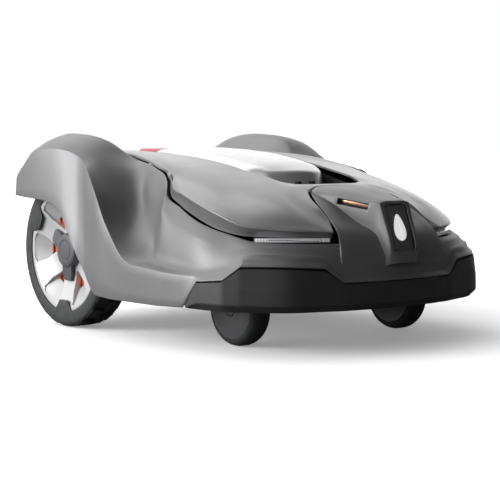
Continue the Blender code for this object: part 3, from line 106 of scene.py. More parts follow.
# ---- the top cover: each line runs from its lip, over the brow, in to the hatch opening ----
COVER_SECTIONS = [
    ((0, -206, 233), (0, -205, 235), (0, -202, 236), (0, -199, 236.5), (0, -195, 236.7), (0, -191, 236.3)),
    ((38, -208, 232), (38, -207, 234), (38, -204, 235.5), (38, -200, 236.3), (37, -196, 236.8), (36, -191, 236.5)),
    ((68, -221, 227), (69, -219, 229), (70, -212, 231), (69, -203, 234), (66, -195, 236.5), (61, -187, 237)),
    ((84, -250, 215), (86, -248, 218), (90, -236, 221), (90, -222, 227), (84, -206, 234), (74, -179, 239)),
    ((91, -278, 202), (94, -276, 205), (104, -262, 210), (108, -240, 219), (100, -212, 231), (80, -165, 242)),
    ((94, -303, 183), (98, -302, 186), (116, -286, 195), (124, -255, 209), (114, -215, 228), (84, -148, 247)),
    ((104, -316, 166), (107, -323, 172), (124, -303, 184), (137, -267, 205), (126, -218, 227), (86, -128, 251)),
    ((140, -300, 167), (143, -309, 174), (149, -291, 187), (154, -255, 206), (143, -203, 229), (87, -100, 256)),
    ((176, -268, 168), (180, -276, 177), (179, -258, 192), (173, -225, 211), (151, -176, 234), (88, -70, 262)),
    ((204, -236, 170), (209, -241, 182), (203, -221, 197), (190, -190, 214), (160, -145, 240), (88, -40, 267)),
    ((215, -197, 177), (221, -199, 197), (213, -182, 211), (197, -160, 224), (164, -115, 247), (88, -10, 271)),
    ((217, -146, 192), (223, -151, 212), (214, -134, 222), (200, -120, 233), (164, -83, 255), (87, 25, 275)),
    ((213, -101, 208), (219, -111, 223), (211, -96, 234), (198, -84, 243), (162, -48, 261), (86, 60, 278)),
    ((209, -69, 224), (211, -77, 230), (206, -66, 241), (194, -56, 251), (159, -20, 266), (86, 90, 280)),
    ((199, -53, 246), (199, -55, 249), (196, -46, 254), (186, -34, 260), (156, 5, 271), (85, 120, 282)),
    ((185, 4, 264), (184, 3, 266), (180, 8, 269), (169, 18, 273), (144, 46, 278), (84, 150, 283)),
    ((170, 60, 273), (169, 60, 275), (164, 62, 277), (152, 70, 280), (130, 90, 283), (83, 180, 284)),
    ((157, 118, 279), (156, 118, 281), (150, 120, 283), (138, 128, 284), (116, 140, 285), (82, 210, 285)),
    ((149, 172, 282), (148, 172, 284), (142, 174, 285), (130, 178, 286), (110, 185, 287), (81, 240, 285)),
    ((145, 245, 281), (144, 245, 283), (138, 245, 284), (126, 245, 285), (108, 246, 286), (80, 265, 284)),
    ((141, 288, 277), (140, 288, 279), (134, 288, 281), (122, 287, 283), (104, 287, 284), (79, 286, 283)),
]
# ---- the nose beak: each line runs from the centre out to its shoulder, the foot of its wall, the seam ----
NOSE_SECTIONS = [
    ((0, -209, 232), (40, -211, 231), (64, -225, 226), (66, -227, 224), (67, -229, 223)),
    ((0, -262, 226), (38, -262, 225), (53, -263, 221), (55, -265, 207), (82, -258, 211)),
    ((0, -300, 219), (28, -300, 218), (40, -301, 214), (42, -303, 181), (91, -295, 190)),
    ((0, -333, 213), (18, -333, 213), (28, -333, 211), (31, -331, 165), (97, -322, 168)),
    ((0, -341, 190), (18, -341, 190), (27, -341, 189), (30, -340, 150), (101, -331, 152)),
    ((0, -356, 144), (18, -356, 144), (26, -355, 144), (28, -347, 133), (103, -336, 133)),
    ((0, -357, 126), (18, -356, 126), (24, -352, 125), (29, -347, 122), (103, -338, 120)),
]
# ---- the bumper: top edge, upper break, lower break, underside, from the centre round to the side ----
BUMPER_SECTIONS = [
    ((0, -359, 101), (0, -360, 86), (0, -360, 72), (0, -351, 62)),
    ((60, -356, 101), (60, -358, 86), (60, -358, 72), (59, -349, 62)),
    ((105, -347, 100), (106, -350, 86), (106, -351, 72), (104, -342, 62)),
    ((133, -337, 119), (133, -340, 95), (132, -342, 72), (129, -333, 62)),
    ((186, -316, 123.5), (187, -321, 95), (187, -322, 72), (181, -314, 62)),
    ((237, -272, 124), (238, -273, 95), (238, -273, 72), (230, -266, 62)),
    ((253, -249, 104.5), (253, -250, 88), (253, -250, 72), (245, -244, 62)),
    ((261, -202, 101), (261, -203, 84), (261, -203, 72), (253, -200, 62)),
    ((263, -178, 66), (263, -178, 65), (263, -178, 64), (255, -177, 62)),
]
# ---- the hatch: each line runs from the centre out over the crown and down the turned edge ----
HATCH_SECTIONS = [
    ((0, 154, 291), (45, 154, 289), (74, 154, 285), (81, 154, 281), (81, 154, 276)),
    ((0, 90, 290), (45, 90, 288), (74, 90, 283), (82, 90, 278), (82, 90, 273)),
    ((0, 0, 284), (45, 0, 282), (72, 0, 276), (80, 0, 270), (80, 0, 264)),
    ((0, -50, 277), (42, -50, 275), (68, -50, 268), (77, -50, 263), (77, -50, 256)),
    ((0, -95, 267), (40, -94, 265), (63, -88, 261), (74, -84, 256), (74, -84, 246)),
    ((0, -125, 255), (30, -121, 254), (54, -110, 253), (71, -93, 252), (72, -92, 242)),
    ((0, -135, 233), (29, -131, 233), (52, -119, 233), (68, -99, 233), (69, -97, 232)),
]
# ---- the tray round the console: rim, foot of the wall, floor's edge ----
TRAY_SECTIONS = [
    ((0, -187, 229), (0, -168, 218), (0, -124, 216)),
    ((36, -186, 229), (34, -168, 218), (32, -124, 216)),
    ((60, -182, 230), (58, -162, 218), (50, -122, 216)),
    ((72, -172, 231), (70, -148, 218), (54, -118, 216)),
    ((80, -128, 239), (76, -110, 219), (57, -104, 216)),
    ((82, -70, 252), (78, -60, 221), (58, -58, 217)),
    ((83, 25, 264), (79, 25, 224), (58, 25, 218)),
    ((82, 90, 269), (79, 90, 226), (58, 90, 218)),
    ((80, 150, 272), (78, 148, 227), (58, 146, 218)),
]
# ---- the tail panel behind the cover: front edge, middle, rear edge ----
TAIL_SECTIONS = [
    ((0, 291, 284), (0, 318, 279), (0, 346, 262)),
    ((60, 291, 283), (58, 318, 278), (52, 345, 262)),
    ((104, 291, 281), (98, 316, 276), (80, 342, 264)),
    ((128, 291, 278), (122, 310, 274), (102, 336, 267)),
    ((139, 291, 275), (134, 306, 272), (120, 328, 269)),
]


def metres(x, y, z):
    """A place given in millimetres."""
    return Vector((x, y, z)) / 1000


# ======== sizes and colours that can be changed ========


def colour(label, value, words):
    return FloatVectorProperty(
        name=label, description=words, default=value, size=3, min=0, max=1, subtype="COLOR"
    )


def length(label, value, words):
    return FloatProperty(
        name=label, description=words, default=value, min=0, unit="LENGTH", subtype="DISTANCE"
    )


def whole(label, value, low, high, words):
    return IntProperty(name=label, description=words, default=value, min=low, max=high)


def light(label, value, words):
    return FloatProperty(name=label, description=words, default=value, min=0)


class MowerColours(bpy.types.PropertyGroup):
    body: colour("Body", (0.16, 0.16, 0.163), "Moulded body shell")
    cover: colour("Cover", (0.165, 0.165, 0.168), "Lacquered top cover")
    hatch: colour("Hatch", (0.58, 0.58, 0.59), "Hatch over the console")
    bumper: colour("Bumper", (0.030, 0.030, 0.032), "Soft front bumper")
    black: colour("Black", (0.012, 0.012, 0.013), "Hidden and inner mouldings")
    grey: colour("Dark grey", (0.075, 0.076, 0.08), "Panels, caps and forks")
    tyre: colour("Tyre", (0.026, 0.027, 0.028), "Rubber of the wheels")
    rim: colour("Rim", (0.46, 0.46, 0.465), "Rear rims")
    accent: colour("Insert", (0.90, 0.13, 0.012), "Discs behind the rims' openings")
    stop: colour("Stop", (0.52, 0.085, 0.095), "Stop button")


class MowerShape(bpy.types.PropertyGroup):
    edge: length("Edge radius", 0.0011, "Radius of the moulded panels' edges")
    steps: whole("Steps", 5, 2, 12, "Surface steps between two sections")
    lug_depth: length("Lug depth", 0.0048, "Height of the tread's lugs")
    lugs: whole("Lugs", 20, 8, 40, "Lugs in each of a rear tyre's two rows")


class MowerStage(bpy.types.PropertyGroup):
    side_light: light("Side light", 85, "Power of the light beside the mower, in watts")
    top_light: light("Top light", 22, "Power of the light overhead, in watts")
    backdrop: light("Backdrop", 1.0, "Brightness of the backdrop")


# ======== finishes ========


class Nodes:
    """The node tree of a material or world, with short ways to add, set and join its nodes."""

    def __init__(self, owner, shader):
        owner.use_nodes = True
        self.tree = owner.node_tree
        self.shader = self.tree.nodes[shader]

    def node(self, kind, **settings):
        node = self.tree.nodes.new(kind)
        for label, value in settings.items():
            setattr(node, label, value)
        return node

    def link(self, start, end):
        self.tree.links.new(start, end)

    def spread(self, value, low, high, start=0.3, end=0.7, **settings):
        """Turns the part of a pattern from start to end into the range from low to high."""
        node = self.node("ShaderNodeMapRange", **settings)
        self.link(value, node.inputs["Value"])
        for label, number in zip(("From Min", "From Max", "To Min", "To Max"), (start, end, low, high)):
            node.inputs[label].default_value = number
        return node.outputs["Result"]

    def maths(self, operation, first, second):
        """Joins two values; the second may be a plain number."""
        node = self.node("ShaderNodeMath", operation=operation)
        self.link(first, node.inputs[0])
        if isinstance(second, float):
            node.inputs[1].default_value = second
        else:
            self.link(second, node.inputs[1])
        return node.outputs["Value"]


class Finish(Nodes):
    """A Principled material whose colour, gloss and relief come from patterns on the object's coordinates."""

    def __init__(self, name, roughness, metallic=0.0, **inputs):
        self.made = bpy.data.materials.new(name)
        super().__init__(self.made, "Principled BSDF")
        self.shader.inputs["Roughness"].default_value = roughness
        self.shader.inputs["Metallic"].default_value = metallic
        for label, value in inputs.items():
            self.shader.inputs[label.replace("_", " ")].default_value = value
        self.place = self.node("ShaderNodeTexCoord").outputs["Object"]

    def stretched(self, scale):
        """Object coordinates drawn out along an axis, for brushed and drawn metal."""
        node = self.node("ShaderNodeMapping")
        self.link(self.place, node.inputs["Vector"])
        node.inputs["Scale"].default_value = scale
        return node.outputs["Vector"]

    def noise(self, scale, detail=2.0, vector=None):
        node = self.node("ShaderNodeTexNoise")
        node.inputs["Scale"].default_value = scale
        node.inputs["Detail"].default_value = detail
        self.link(vector or self.place, node.inputs["Vector"])
        return node.outputs["Fac"]

    def cells(self, scale):
        node = self.node("ShaderNodeTexVoronoi")
        node.inputs["Scale"].default_value = scale
        self.link(self.place, node.inputs["Vector"])
        return node.outputs["Distance"]

    def paint(self, pattern, dark, light):
        """Mixes two colours by a pattern and sends the result to the shader."""
        node = self.node("ShaderNodeMix", data_type="RGBA")
        self.link(pattern, node.inputs["Factor"])
        node.inputs["A"].default_value = (*dark, 1)
        node.inputs["B"].default_value = (*light, 1)
        self.link(node.outputs["Result"], self.shader.inputs["Base Color"])

    def shade(self, hue, pattern, depth):
        """Lets a colour vary a little, darker and lighter by the same share."""
        self.paint(pattern, [c * (1 - depth) for c in hue], [min(1, c * (1 + depth)) for c in hue])

    def cloud(self, hue, depth, scale, detail=2.0):
        self.shade(hue, self.spread(self.noise(scale, detail), 0, 1), depth)

    def flake(self, hue, depth):
        """The fine metal flake of a lacquered panel."""
        self.shade(hue, self.spread(self.cells(3500), 0, 1, 0.1, 0.6), depth)

    # Painted glow: emission that lifts a surface above the brightness the lights give it, not light from a lit
    # lamp.
    def painted_glow(self, strength, hue=WHITE):
        self.shader.inputs["Emission Color"].default_value = hue
        self.shader.inputs["Emission Strength"].default_value = strength

    def rough(self, pattern, low, high):
        self.link(self.spread(pattern, low, high), self.shader.inputs["Roughness"])

    def relief(self, pattern, height, strength):
        """Adds a relief to the surface, on top of any that it has already."""
        node = self.node("ShaderNodeBump")
        node.inputs["Strength"].default_value = strength
        node.inputs["Distance"].default_value = height
        self.link(pattern, node.inputs["Height"])
        if self.shader.inputs["Normal"].is_linked:
            self.link(self.shader.inputs["Normal"].links[0].from_socket, node.inputs["Normal"])
        self.link(node.outputs["Normal"], self.shader.inputs["Normal"])


def make_finishes(hues):
    """Every finish of the mower, by the name of its material slot."""
    made = {}

    def keep(name, finish):
        made[name] = finish.made
        return finish

    body = keep("body_grey", Finish("satin_grey_moulding", 0.4, 0.35))
    body.cloud(hues.body, 0.05, 5)
    body.rough(body.noise(900, 1), 0.36, 0.5)
    body.relief(body.noise(1300, 3), 0.0001, 0.35)

    cover = keep("cover_grey", Finish("lacquered_grey", 0.3, 0.4, Coat_Weight=0.5, Coat_Roughness=0.22))
    cover.flake(hues.cover, 0.06)
    cover.rough(cover.noise(30), 0.32, 0.38)

    silver = Finish("lacquered_silver", 0.2, 0.45, Coat_Weight=0.6, Coat_Roughness=0.1)
    hatch = keep("hatch_silver", silver)
    hatch.flake(hues.hatch, 0.08)
    hatch.rough(hatch.noise(30), 0.22, 0.28)

    bumper = keep("bumper_charcoal", Finish("charcoal_soft_moulding", 0.6))
    bumper.cloud(hues.bumper, 0.10, 9)
    bumper.rough(bumper.noise(60), 0.5, 0.62)
    bumper.relief(bumper.noise(900, 4), 0.0002, 0.5)
    bumper.relief(bumper.cells(1400), 0.0001, 0.4)

    black = keep("black_plastic", Finish("black_moulding", 0.5))
    black.shade(hues.black, black.noise(8), 0.15)
    black.rough(black.noise(40), 0.45, 0.6)
    black.relief(black.noise(1100, 2), 0.0001, 0.3)

    grey = keep("dark_grey_plastic", Finish("dark_grey_moulding", 0.5))
    grey.cloud(hues.grey, 0.06, 9)
    grey.rough(grey.noise(50), 0.42, 0.55)
    grey.relief(grey.noise(1200, 2), 0.0001, 0.35)

    tyre = keep("tyre_rubber", Finish("tyre_rubber", 0.7))
    tyre.cloud(hues.tyre, 0.18, 14, 4)
    tyre.rough(tyre.noise(80), 0.6, 0.8)
    tyre.relief(tyre.noise(700, 4), 0.00025, 0.5)

    rim = keep("rim_silver", Finish("satin_white_silver", 0.35, 0.15, Coat_Weight=0.2, Coat_Roughness=0.2))
    rim.cloud(hues.rim, 0.03, 12)
    rim.rough(rim.noise(60), 0.3, 0.42)
    rim.relief(rim.noise(1500, 1), 0.00006, 0.3)

    accent = keep("orange_plastic", Finish("orange_moulding", 0.45))
    accent.cloud(hues.accent, 0.05, 12)
    accent.rough(accent.noise(50), 0.4, 0.5)
    accent.relief(accent.noise(1200, 2), 0.00008, 0.3)

    stop = keep("stop_red", Finish("red_moulding", 0.35, Coat_Weight=0.3, Coat_Roughness=0.2))
    stop.cloud(hues.stop, 0.05, 10)
    stop.rough(stop.noise(60), 0.3, 0.4)
    stop.relief(stop.noise(1000, 2), 0.00008, 0.3)

    leaf = keep("leaf_white", Finish("white_moulding_painted_glow", 0.4))
    leaf.cloud((0.80, 0.80, 0.80), 0.03, 20)
    leaf.rough(leaf.noise(60), 0.36, 0.46)
    # Painted glow: the emission lifts the white leaf to full white although the nose stays in shade.
    leaf.painted_glow(0.55)

    # Painted brightness: the lens's pale greys and faint glow make it look light although the mower's front stays
    # in shade; the wave ribs are the lens's own pattern.
    lens = keep("headlight_lens", Finish("clear_lens_painted_bright", 0.12, Coat_Weight=1.0, Coat_Roughness=0.05))
    ribs = lens.node("ShaderNodeTexWave", bands_direction="X")
    ribs.inputs["Scale"].default_value = 110
    lens.link(lens.place, ribs.inputs["Vector"])
    lens.paint(lens.spread(ribs.outputs["Fac"], 0, 1), (0.50, 0.505, 0.51), (0.70, 0.705, 0.715))
    lens.relief(ribs.outputs["Fac"], 0.0001, 0.3)
    lens.painted_glow(0.08, (0.9, 0.93, 1.0, 1))

    copper = keep("contact_copper", Finish("copper_strip", 0.3, 0.9))
    drawn = copper.noise(60, 3, copper.stretched((30, 1, 30)))
    copper.paint(drawn, (0.36, 0.19, 0.12), (0.50, 0.30, 0.21))
    copper.rough(drawn, 0.25, 0.4)
    copper.relief(drawn, 0.00005, 0.3)

    steel = keep("steel", Finish("brushed_steel", 0.3, 1.0))
    grain = steel.noise(80, 3, steel.stretched((1, 30, 30)))
    steel.paint(grain, (0.45, 0.45, 0.46), (0.66, 0.66, 0.67))
    steel.rough(grain, 0.24, 0.4)
    steel.relief(grain, 0.00005, 0.3)

    sleeve = keep("battery_sleeve", Finish("blue_sleeve", 0.4))
    sleeve.paint(sleeve.noise(20, 3), (0.015, 0.06, 0.20), (0.03, 0.10, 0.30))
    sleeve.relief(sleeve.cells(45), 0.0006, 0.4)

    board = keep("circuit_board", Finish("green_board", 0.4))
    tracks = board.node("ShaderNodeTexBrick")
    tracks.inputs["Scale"].default_value = 60
    tracks.inputs["Color1"].default_value = (0.010, 0.11, 0.045, 1)
    tracks.inputs["Color2"].default_value = (0.014, 0.14, 0.060, 1)
    tracks.inputs["Mortar"].default_value = (0.10, 0.32, 0.12, 1)
    board.link(board.place, tracks.inputs["Vector"])
    board.link(tracks.outputs["Color"], board.shader.inputs["Base Color"])
    board.relief(tracks.outputs["Fac"], 0.0002, 0.5)

    pane = keep("display_glass", Finish("display_window", 0.06, Coat_Weight=1.0, Coat_Roughness=0.03))
    pane.paint(pane.noise(25), (0.030, 0.045, 0.040), (0.045, 0.065, 0.055))
    pane.rough(pane.noise(120), 0.05, 0.1)
    return made


FINISHES = {}


# ======== modelling helpers ========


def choose(obj):
    """Leaves only this object selected and makes it the active one."""
    bpy.ops.object.select_all(action="DESELECT")
    obj.select_set(True)
    bpy.context.view_layer.objects.active = obj


def added(name):
    """Names the object that an operator has just added."""
    obj = bpy.context.view_layer.objects.active
    obj.name = name
    obj.data.name = name
    return obj


def settled(obj):
    """Puts the object's place, turn and scale into its mesh."""
    choose(obj)
    bpy.ops.object.transform_apply(location=True, rotation=True, scale=True)
    return obj


def applied(obj):
    """Applies every modifier of the object."""
    choose(obj)
    for modifier in list(obj.modifiers):
        bpy.ops.object.modifier_apply(modifier=modifier.name)
    return obj


def tidied(obj):
    """Merges doubled points and turns every face outwards."""
    choose(obj)
    bpy.ops.object.mode_set(mode="EDIT")
    bpy.ops.mesh.select_all(action="SELECT")
    bpy.ops.mesh.remove_doubles(threshold=MERGE)
    bpy.ops.mesh.normals_make_consistent(inside=False)
    bpy.ops.object.mode_set(mode="OBJECT")
    return obj


def smoothed(obj, angle=40):
    """Shades the faces smooth, apart from edges that are sharper than the angle."""
    choose(obj)
    bpy.ops.object.shade_smooth_by_angle(angle=math.radians(angle))
    return obj


def rounded(obj, width, segments=3, angle=35, clamp=True):
    """Rounds every edge that is sharper than the angle."""
    modifier = obj.modifiers.new("edge_radius", "BEVEL")
    modifier.width = width
    modifier.segments = segments
    modifier.limit_method = "ANGLE"
    modifier.angle_limit = math.radians(angle)
    modifier.use_clamp_overlap = clamp
    return applied(obj)


def combine(obj, operation, *others):
    """Cuts or joins other pieces, which are used up."""
    for other in others:
        modifier = obj.modifiers.new("shape", "BOOLEAN")
        modifier.operation = operation
        modifier.object = other
        modifier.solver = "EXACT"
        applied(obj)
        bpy.data.objects.remove(other)
    return obj


def cut(obj, *others):
    return combine(obj, "DIFFERENCE", *others)


def join(obj, *others):
    return combine(obj, "UNION", *others)


def block(name, low, high, radius=0.0, segments=3):
    """A block between two corners, with its edges rounded where asked."""
    low, high = Vector(low), Vector(high)
    bpy.ops.mesh.primitive_cube_add(size=1, location=(low + high) / 2)
    obj = added(name)
    obj.scale = high - low
    settled(obj)
    return rounded(obj, radius, segments) if radius else obj


def drum(name, centre, radius, height, sides):
    """A round piece along the X axis."""
    bpy.ops.mesh.primitive_cylinder_add(
        vertices=sides, radius=radius, depth=height, location=centre, rotation=(0, math.pi / 2, 0)
    )
    return settled(added(name))


def spun(name, profile, steps=96, closed=False):
    """A turned piece round the X axis: (radius, along) points of its profile, spun a full turn."""
    bpy.ops.mesh.primitive_circle_add(vertices=len(profile), radius=1)
    obj = added(name)
    for vert, (radius, along) in zip(obj.data.vertices, profile):
        vert.co = (along, 0, radius)
    choose(obj)
    bpy.ops.object.mode_set(mode="EDIT")
    if not closed:
        bm = bmesh.from_edit_mesh(obj.data)
        bm.verts.ensure_lookup_table()
        first, last = bm.verts[0], bm.verts[len(profile) - 1]
        closing = [edge for edge in first.link_edges if last in edge.verts]
        bmesh.ops.delete(bm, geom=closing, context="EDGES_FACES")
        bmesh.update_edit_mesh(obj.data)
    bpy.ops.mesh.select_all(action="SELECT")
    bpy.ops.mesh.spin(steps=steps, angle=2 * math.pi, center=(0, 0, 0), axis=(1, 0, 0))
    bpy.ops.object.mode_set(mode="OBJECT")
    return tidied(obj)


def prism(name, outline, low, high, plane=None):
    """A flat outline drawn out from low to high; plane places it anywhere else."""
    bpy.ops.mesh.primitive_circle_add(vertices=len(outline), radius=1, fill_type="NGON")
    obj = added(name)
    for vert, (x, y) in zip(obj.data.vertices, outline):
        vert.co = (x, y, low)
    choose(obj)
    bpy.ops.object.mode_set(mode="EDIT")
    bpy.ops.mesh.select_all(action="SELECT")
    bpy.ops.mesh.extrude_region_move(TRANSFORM_OT_translate={"value": (0, 0, high - low)})
    bpy.ops.object.mode_set(mode="OBJECT")
    if plane:
        obj.data.transform(plane)
    return tidied(obj)


def round_bar(name, path, radius):
    """A round bar along a path of points."""
    curve = bpy.data.curves.new(name, "CURVE")
    curve.dimensions = "3D"
    curve.bevel_depth = radius
    curve.bevel_resolution = 5
    curve.use_fill_caps = True
    spline = curve.splines.new("POLY")
    spline.points.add(len(path) - 1)
    for point, place in zip(spline.points, path):
        point.co = (*place, 1)
    obj = bpy.data.objects.new(name, curve)
    bpy.context.scene.collection.objects.link(obj)
    choose(obj)
    bpy.ops.object.convert(target="MESH")
    return tidied(bpy.context.view_layer.objects.active)


def flipped(obj):
    """Turns the piece into its mirror image on the mower's other side."""
    obj.data.transform(MIRROR_X)
    obj.data.flip_normals()
    return obj


def mirrored(obj, name):
    """A copy of the piece for the mower's other side."""
    choose(obj)
    bpy.ops.object.duplicate()
    return flipped(added(name))


def dress(obj, body, slot, *nodes, finish=None):
    """Gives a piece its finish and slot, and lets it ride on a body in place of the CAD nodes."""
    obj.data.materials.clear()
    obj.data.materials.append(FINISHES[finish or slot])
    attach(obj, body)
    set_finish(obj, slot)
    if nodes:
        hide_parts(*nodes)
    return obj


def dress_node(node, slot, edge):
    """Gives a CAD node its finish, and rounds its edges with modifiers that stay live."""
    obj = frame["nodes"][node]
    for material_slot in obj.material_slots:
        material_slot.material = FINISHES[slot]
    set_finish(obj, slot)
    weld = obj.modifiers.new("joined_points", "WELD")
    weld.merge_threshold = 0.00001
    radius = obj.modifiers.new("edge_radius", "BEVEL")
    radius.width = edge
    radius.segments = 2
    radius.limit_method = "ANGLE"
    radius.angle_limit = math.radians(35)


# ======== lofted panels ========


def through(points, steps, radius, corners, flat_start, flat_end):
    """Points on a smooth curve through the given ones, with a small radius at each corner."""
    last = len(points) - 1
    chords = [max((points[i + 1] - points[i]).length, 1e-7) for i in range(last)]
    ways = [(points[i + 1] - points[i]) / chords[i] for i in range(last)]
    leave, arrive = [None] * (last + 1), [None] * (last + 1)
    for i in range(last + 1):
        if i == 0:
            leave[i] = Vector((1, 0, 0)) if flat_start else ways[0]
        elif i == last:
            arrive[i] = Vector((-1, 0, 0)) if flat_end else ways[-1]
        elif i in corners:
            arrive[i], leave[i] = ways[i - 1], ways[i]
        else:
            share = chords[i - 1] / (chords[i - 1] + chords[i])
            arrive[i] = leave[i] = ways[i - 1].lerp(ways[i], share)
    found, knots = [points[0].copy()], [0]
    for i in range(last):
        near = min(radius / chords[i], 0.5 / steps)
        inner = [k / steps for k in range(1, steps)]
        for t in [near, *inner, 1 - near, 1] if radius else [*inner, 1]:
            found.append(
                points[i] * (2 * t**3 - 3 * t**2 + 1)
                + leave[i] * chords[i] * (t**3 - 2 * t**2 + t)
                + points[i + 1] * (3 * t**2 - 2 * t**3)
                + arrive[i + 1] * chords[i] * (t**3 - t**2)
            )
        knots.append(len(found) - 1)
    for i in corners if radius else ():
        if 0 < i < last:
            k = knots[i]
            found[k] = found[k - 1] * 0.25 + points[i] * 0.5 + found[k + 1] * 0.25
    return found


def surface(
    sections, radius, steps, cross_steps,
    corners=None, creased=(), flat_start=True, flat_end=False, flat_across=False,
):
    """A fine grid of points on the surface through the sections.

    corners says where each line along the sections turns sharply, and creased which lines are sharp
    across. A flat start or end leaves the middle square on, so the mirrored half meets it smoothly.
    """
    rows = []
    for r in range(len(sections[0])):
        line = [metres(*section[r]) for section in sections]
        sharp = (corners or {}).get(r, ())
        rows.append(through(line, steps, radius * 3, sharp, flat_start, flat_end))
    return [through(list(row), cross_steps, radius, creased, flat_across, False) for row in zip(*rows)]


def relaxed(columns, first_row, last_row, rounds):
    """Eases the waves out of the grid between two of its rows, and leaves its borders where they are."""
    for _ in range(rounds):
        before = [list(column) for column in columns]
        for c in range(1, len(columns) - 1):
            for r in range(first_row, last_row):
                around = before[c - 1][r] + before[c + 1][r] + before[c][r - 1] + before[c][r + 1]
                columns[c][r] = before[c][r] * 0.4 + around * 0.15


def panel(name, columns, wall):
    """A mirrored shell of the given wall inside the grid of points."""
    count, height = len(columns), len(columns[0])
    bpy.ops.mesh.primitive_grid_add(x_subdivisions=count - 1, y_subdivisions=height - 1, size=1)
    obj = added(name)
    flat = [columns[c][r] for r in range(height) for c in range(count)]
    for vert, point in zip(obj.data.vertices, flat):
        vert.co = point
    choose(obj)
    bpy.ops.object.mode_set(mode="EDIT")
    bpy.ops.mesh.select_all(action="SELECT")
    bpy.ops.mesh.remove_doubles(threshold=MERGE)
    bpy.ops.object.mode_set(mode="OBJECT")
    mirror = obj.modifiers.new("other_side", "MIRROR")
    mirror.merge_threshold = 0.0001
    mirror.use_clip = True
    thick = obj.modifiers.new("wall", "SOLIDIFY")
    thick.thickness = wall
    thick.offset = -1
    return applied(obj)


def shape():
    return bpy.context.scene.mower_shape


# ======== the floating body ========


SLOT_REAR, SLOT_FRONT = metres(50, -267, 215), metres(33.5, -320, 206.5)
SLOT_HALF = (0.025, 0.00425)
BADGE_FOOT, BADGE_TOP = metres(0, -356.0, 143.5), metres(0, -334.0, 210)
BADGE_HALF = (0.022, (BADGE_TOP - BADGE_FOOT).length / 2)
BADGE_DEPTH = 0.0014
BADGE_CORNER = 0.004


def drawing_plane(along, up, out, centre):
    """A plane to draw on, from its two axes, the way that it faces and its middle."""
    plane = Matrix((along, up, out)).transposed().to_4x4()
    plane.translation = centre
    return plane


def nose_slot_frame(side):
    """Axes of the nose's side facet at the middle of the contact slot: along it, up it and out of it."""
    along = (SLOT_FRONT - SLOT_REAR).normalized()
    out = Vector((1, 0, 0))
    out = (out - along * out.dot(along)).normalized()
    up = out.cross(along).normalized()
    plane = drawing_plane(along, up, out, (SLOT_REAR + SLOT_FRONT) / 2)
    return Matrix.Diagonal((side, 1, 1, 1)) @ plane


def slot_block(name, side, shrink, depth, out, radius=0.0):
    """A block in the contact slot, from depth below the facet up to out above it."""
    half_long, half_high = (half - shrink for half in SLOT_HALF)
    obj = block(name, (-half_long, -half_high, -depth), (half_long, half_high, out), radius)
    obj.data.transform(nose_slot_frame(side))
    return tidied(obj)


def badge_plane():
    """Axes of the nose's front face: across it, up it and out of it, from the middle of the badge panel."""
    up = (BADGE_TOP - BADGE_FOOT).normalized()
    out = Vector((1, 0, 0)).cross(up).normalized()
    return drawing_plane(Vector((1, 0, 0)), up, out, (BADGE_FOOT + BADGE_TOP) / 2)


def badge_outline(shrink):
    """The panel's outline with cut corners, smaller by shrink all round."""
    half, tall = (size - shrink for size in BADGE_HALF)
    quarter = [
        (half - BADGE_CORNER, -tall), (half, -tall + BADGE_CORNER),
        (half, tall - BADGE_CORNER), (half - BADGE_CORNER, tall),
    ]
    return quarter + [(-x, y) for x, y in reversed(quarter)]


LEDGE_IN, LEDGE_DOWN = 0.009, 0.006
BEAK_SUNK = (0.0030, 0.0022, 0.0012)


class MOWER_OT_body_shell(bpy.types.Operator):
    """Moulded body: wheel arches, sills, shoulders, front skirt and nose beak"""

    bl_idname = "mower.body_shell"
    bl_label = "Body shell"

    def execute(self, context):
        steps = shape().steps
        hem, rim, ledge = (2, 3, 5, 6, 7, 8, 9, 24, 26), (2, 3, 5, 6, 8, 9, 24), (9, 10, 11)
        corners = {0: hem, 1: rim, 2: ledge, 3: (10, 12, 13), 4: (10,)}
        columns = surface(BODY_SECTIONS, 0, steps, 4, corners, (1,), flat_end=True)
        relaxed(columns, first_row=10, last_row=16, rounds=12)
        for column in columns:
            seam = column[-1]
            inward = Vector((-seam.x, -seam.y * 0.6, 0))
            inward = inward.normalized() if inward.length > MERGE else inward
            column.append(seam + inward * LEDGE_IN - Vector((0, 0, LEDGE_DOWN)))
        shell = panel("body_shell_fine", columns, SKIN)
        beak_corners = {0: (3,), 1: (3,), 2: (3,)}
        grid = surface(NOSE_SECTIONS, 0, 4, 4, beak_corners, (2, 3), False, flat_across=True)
        for column in grid:
            for place, sunk in enumerate(BEAK_SUNK, start=1):
                column[-place] = column[-place] + Vector((0, sunk, 0))
        join(shell, panel("beak", [column[::-1] for column in grid], SKIN))
        cut(shell, prism("badge_recess", badge_outline(0), -BADGE_DEPTH, CLEAR, badge_plane()))
        for side in (1, -1):
            cut(shell, slot_block("slot", side, 0.0, 0.014, CLEAR))
        rounded(shell, shape().edge, 3, 32, False)
        smoothed(shell, 42)
        dress(shell, "shell", "body_grey", "body_shell")
        return {"FINISHED"}


COVER_LIP = 0.0025


class MOWER_OT_top_cover(bpy.types.Operator):
    """Lacquered cover with its two brows over the headlights"""

    bl_idname = "mower.top_cover"
    bl_label = "Top cover"

    def execute(self, context):
        steps = shape().steps
        corners = {0: (2, 6), 1: (2, 6)}
        columns = surface(COVER_SECTIONS, shape().edge, steps, steps, corners, (1,))
        relaxed(columns, first_row=10, last_row=len(columns[0]) - 1, rounds=50)
        for column in columns:
            column[0] = column[0] - Vector((0, 0, COVER_LIP))
        cover = smoothed(panel("top_cover_fine", columns, SKIN), 50)
        dress(cover, "shell", "cover_grey", "top_cover")
        return {"FINISHED"}


BUMPER_WALL = 0.006
BUMPER_SOFTNESS = 1.4
# Ends and radius of a black bar at each end of the bumper; the bar is painted shade that fills the slit between
# the bumper's end and the body.
SHADE_BAR_TOP, SHADE_BAR_FOOT, SHADE_BAR_RADIUS = (255.5, -201, 101), (258, -174, 67.5), 0.0042


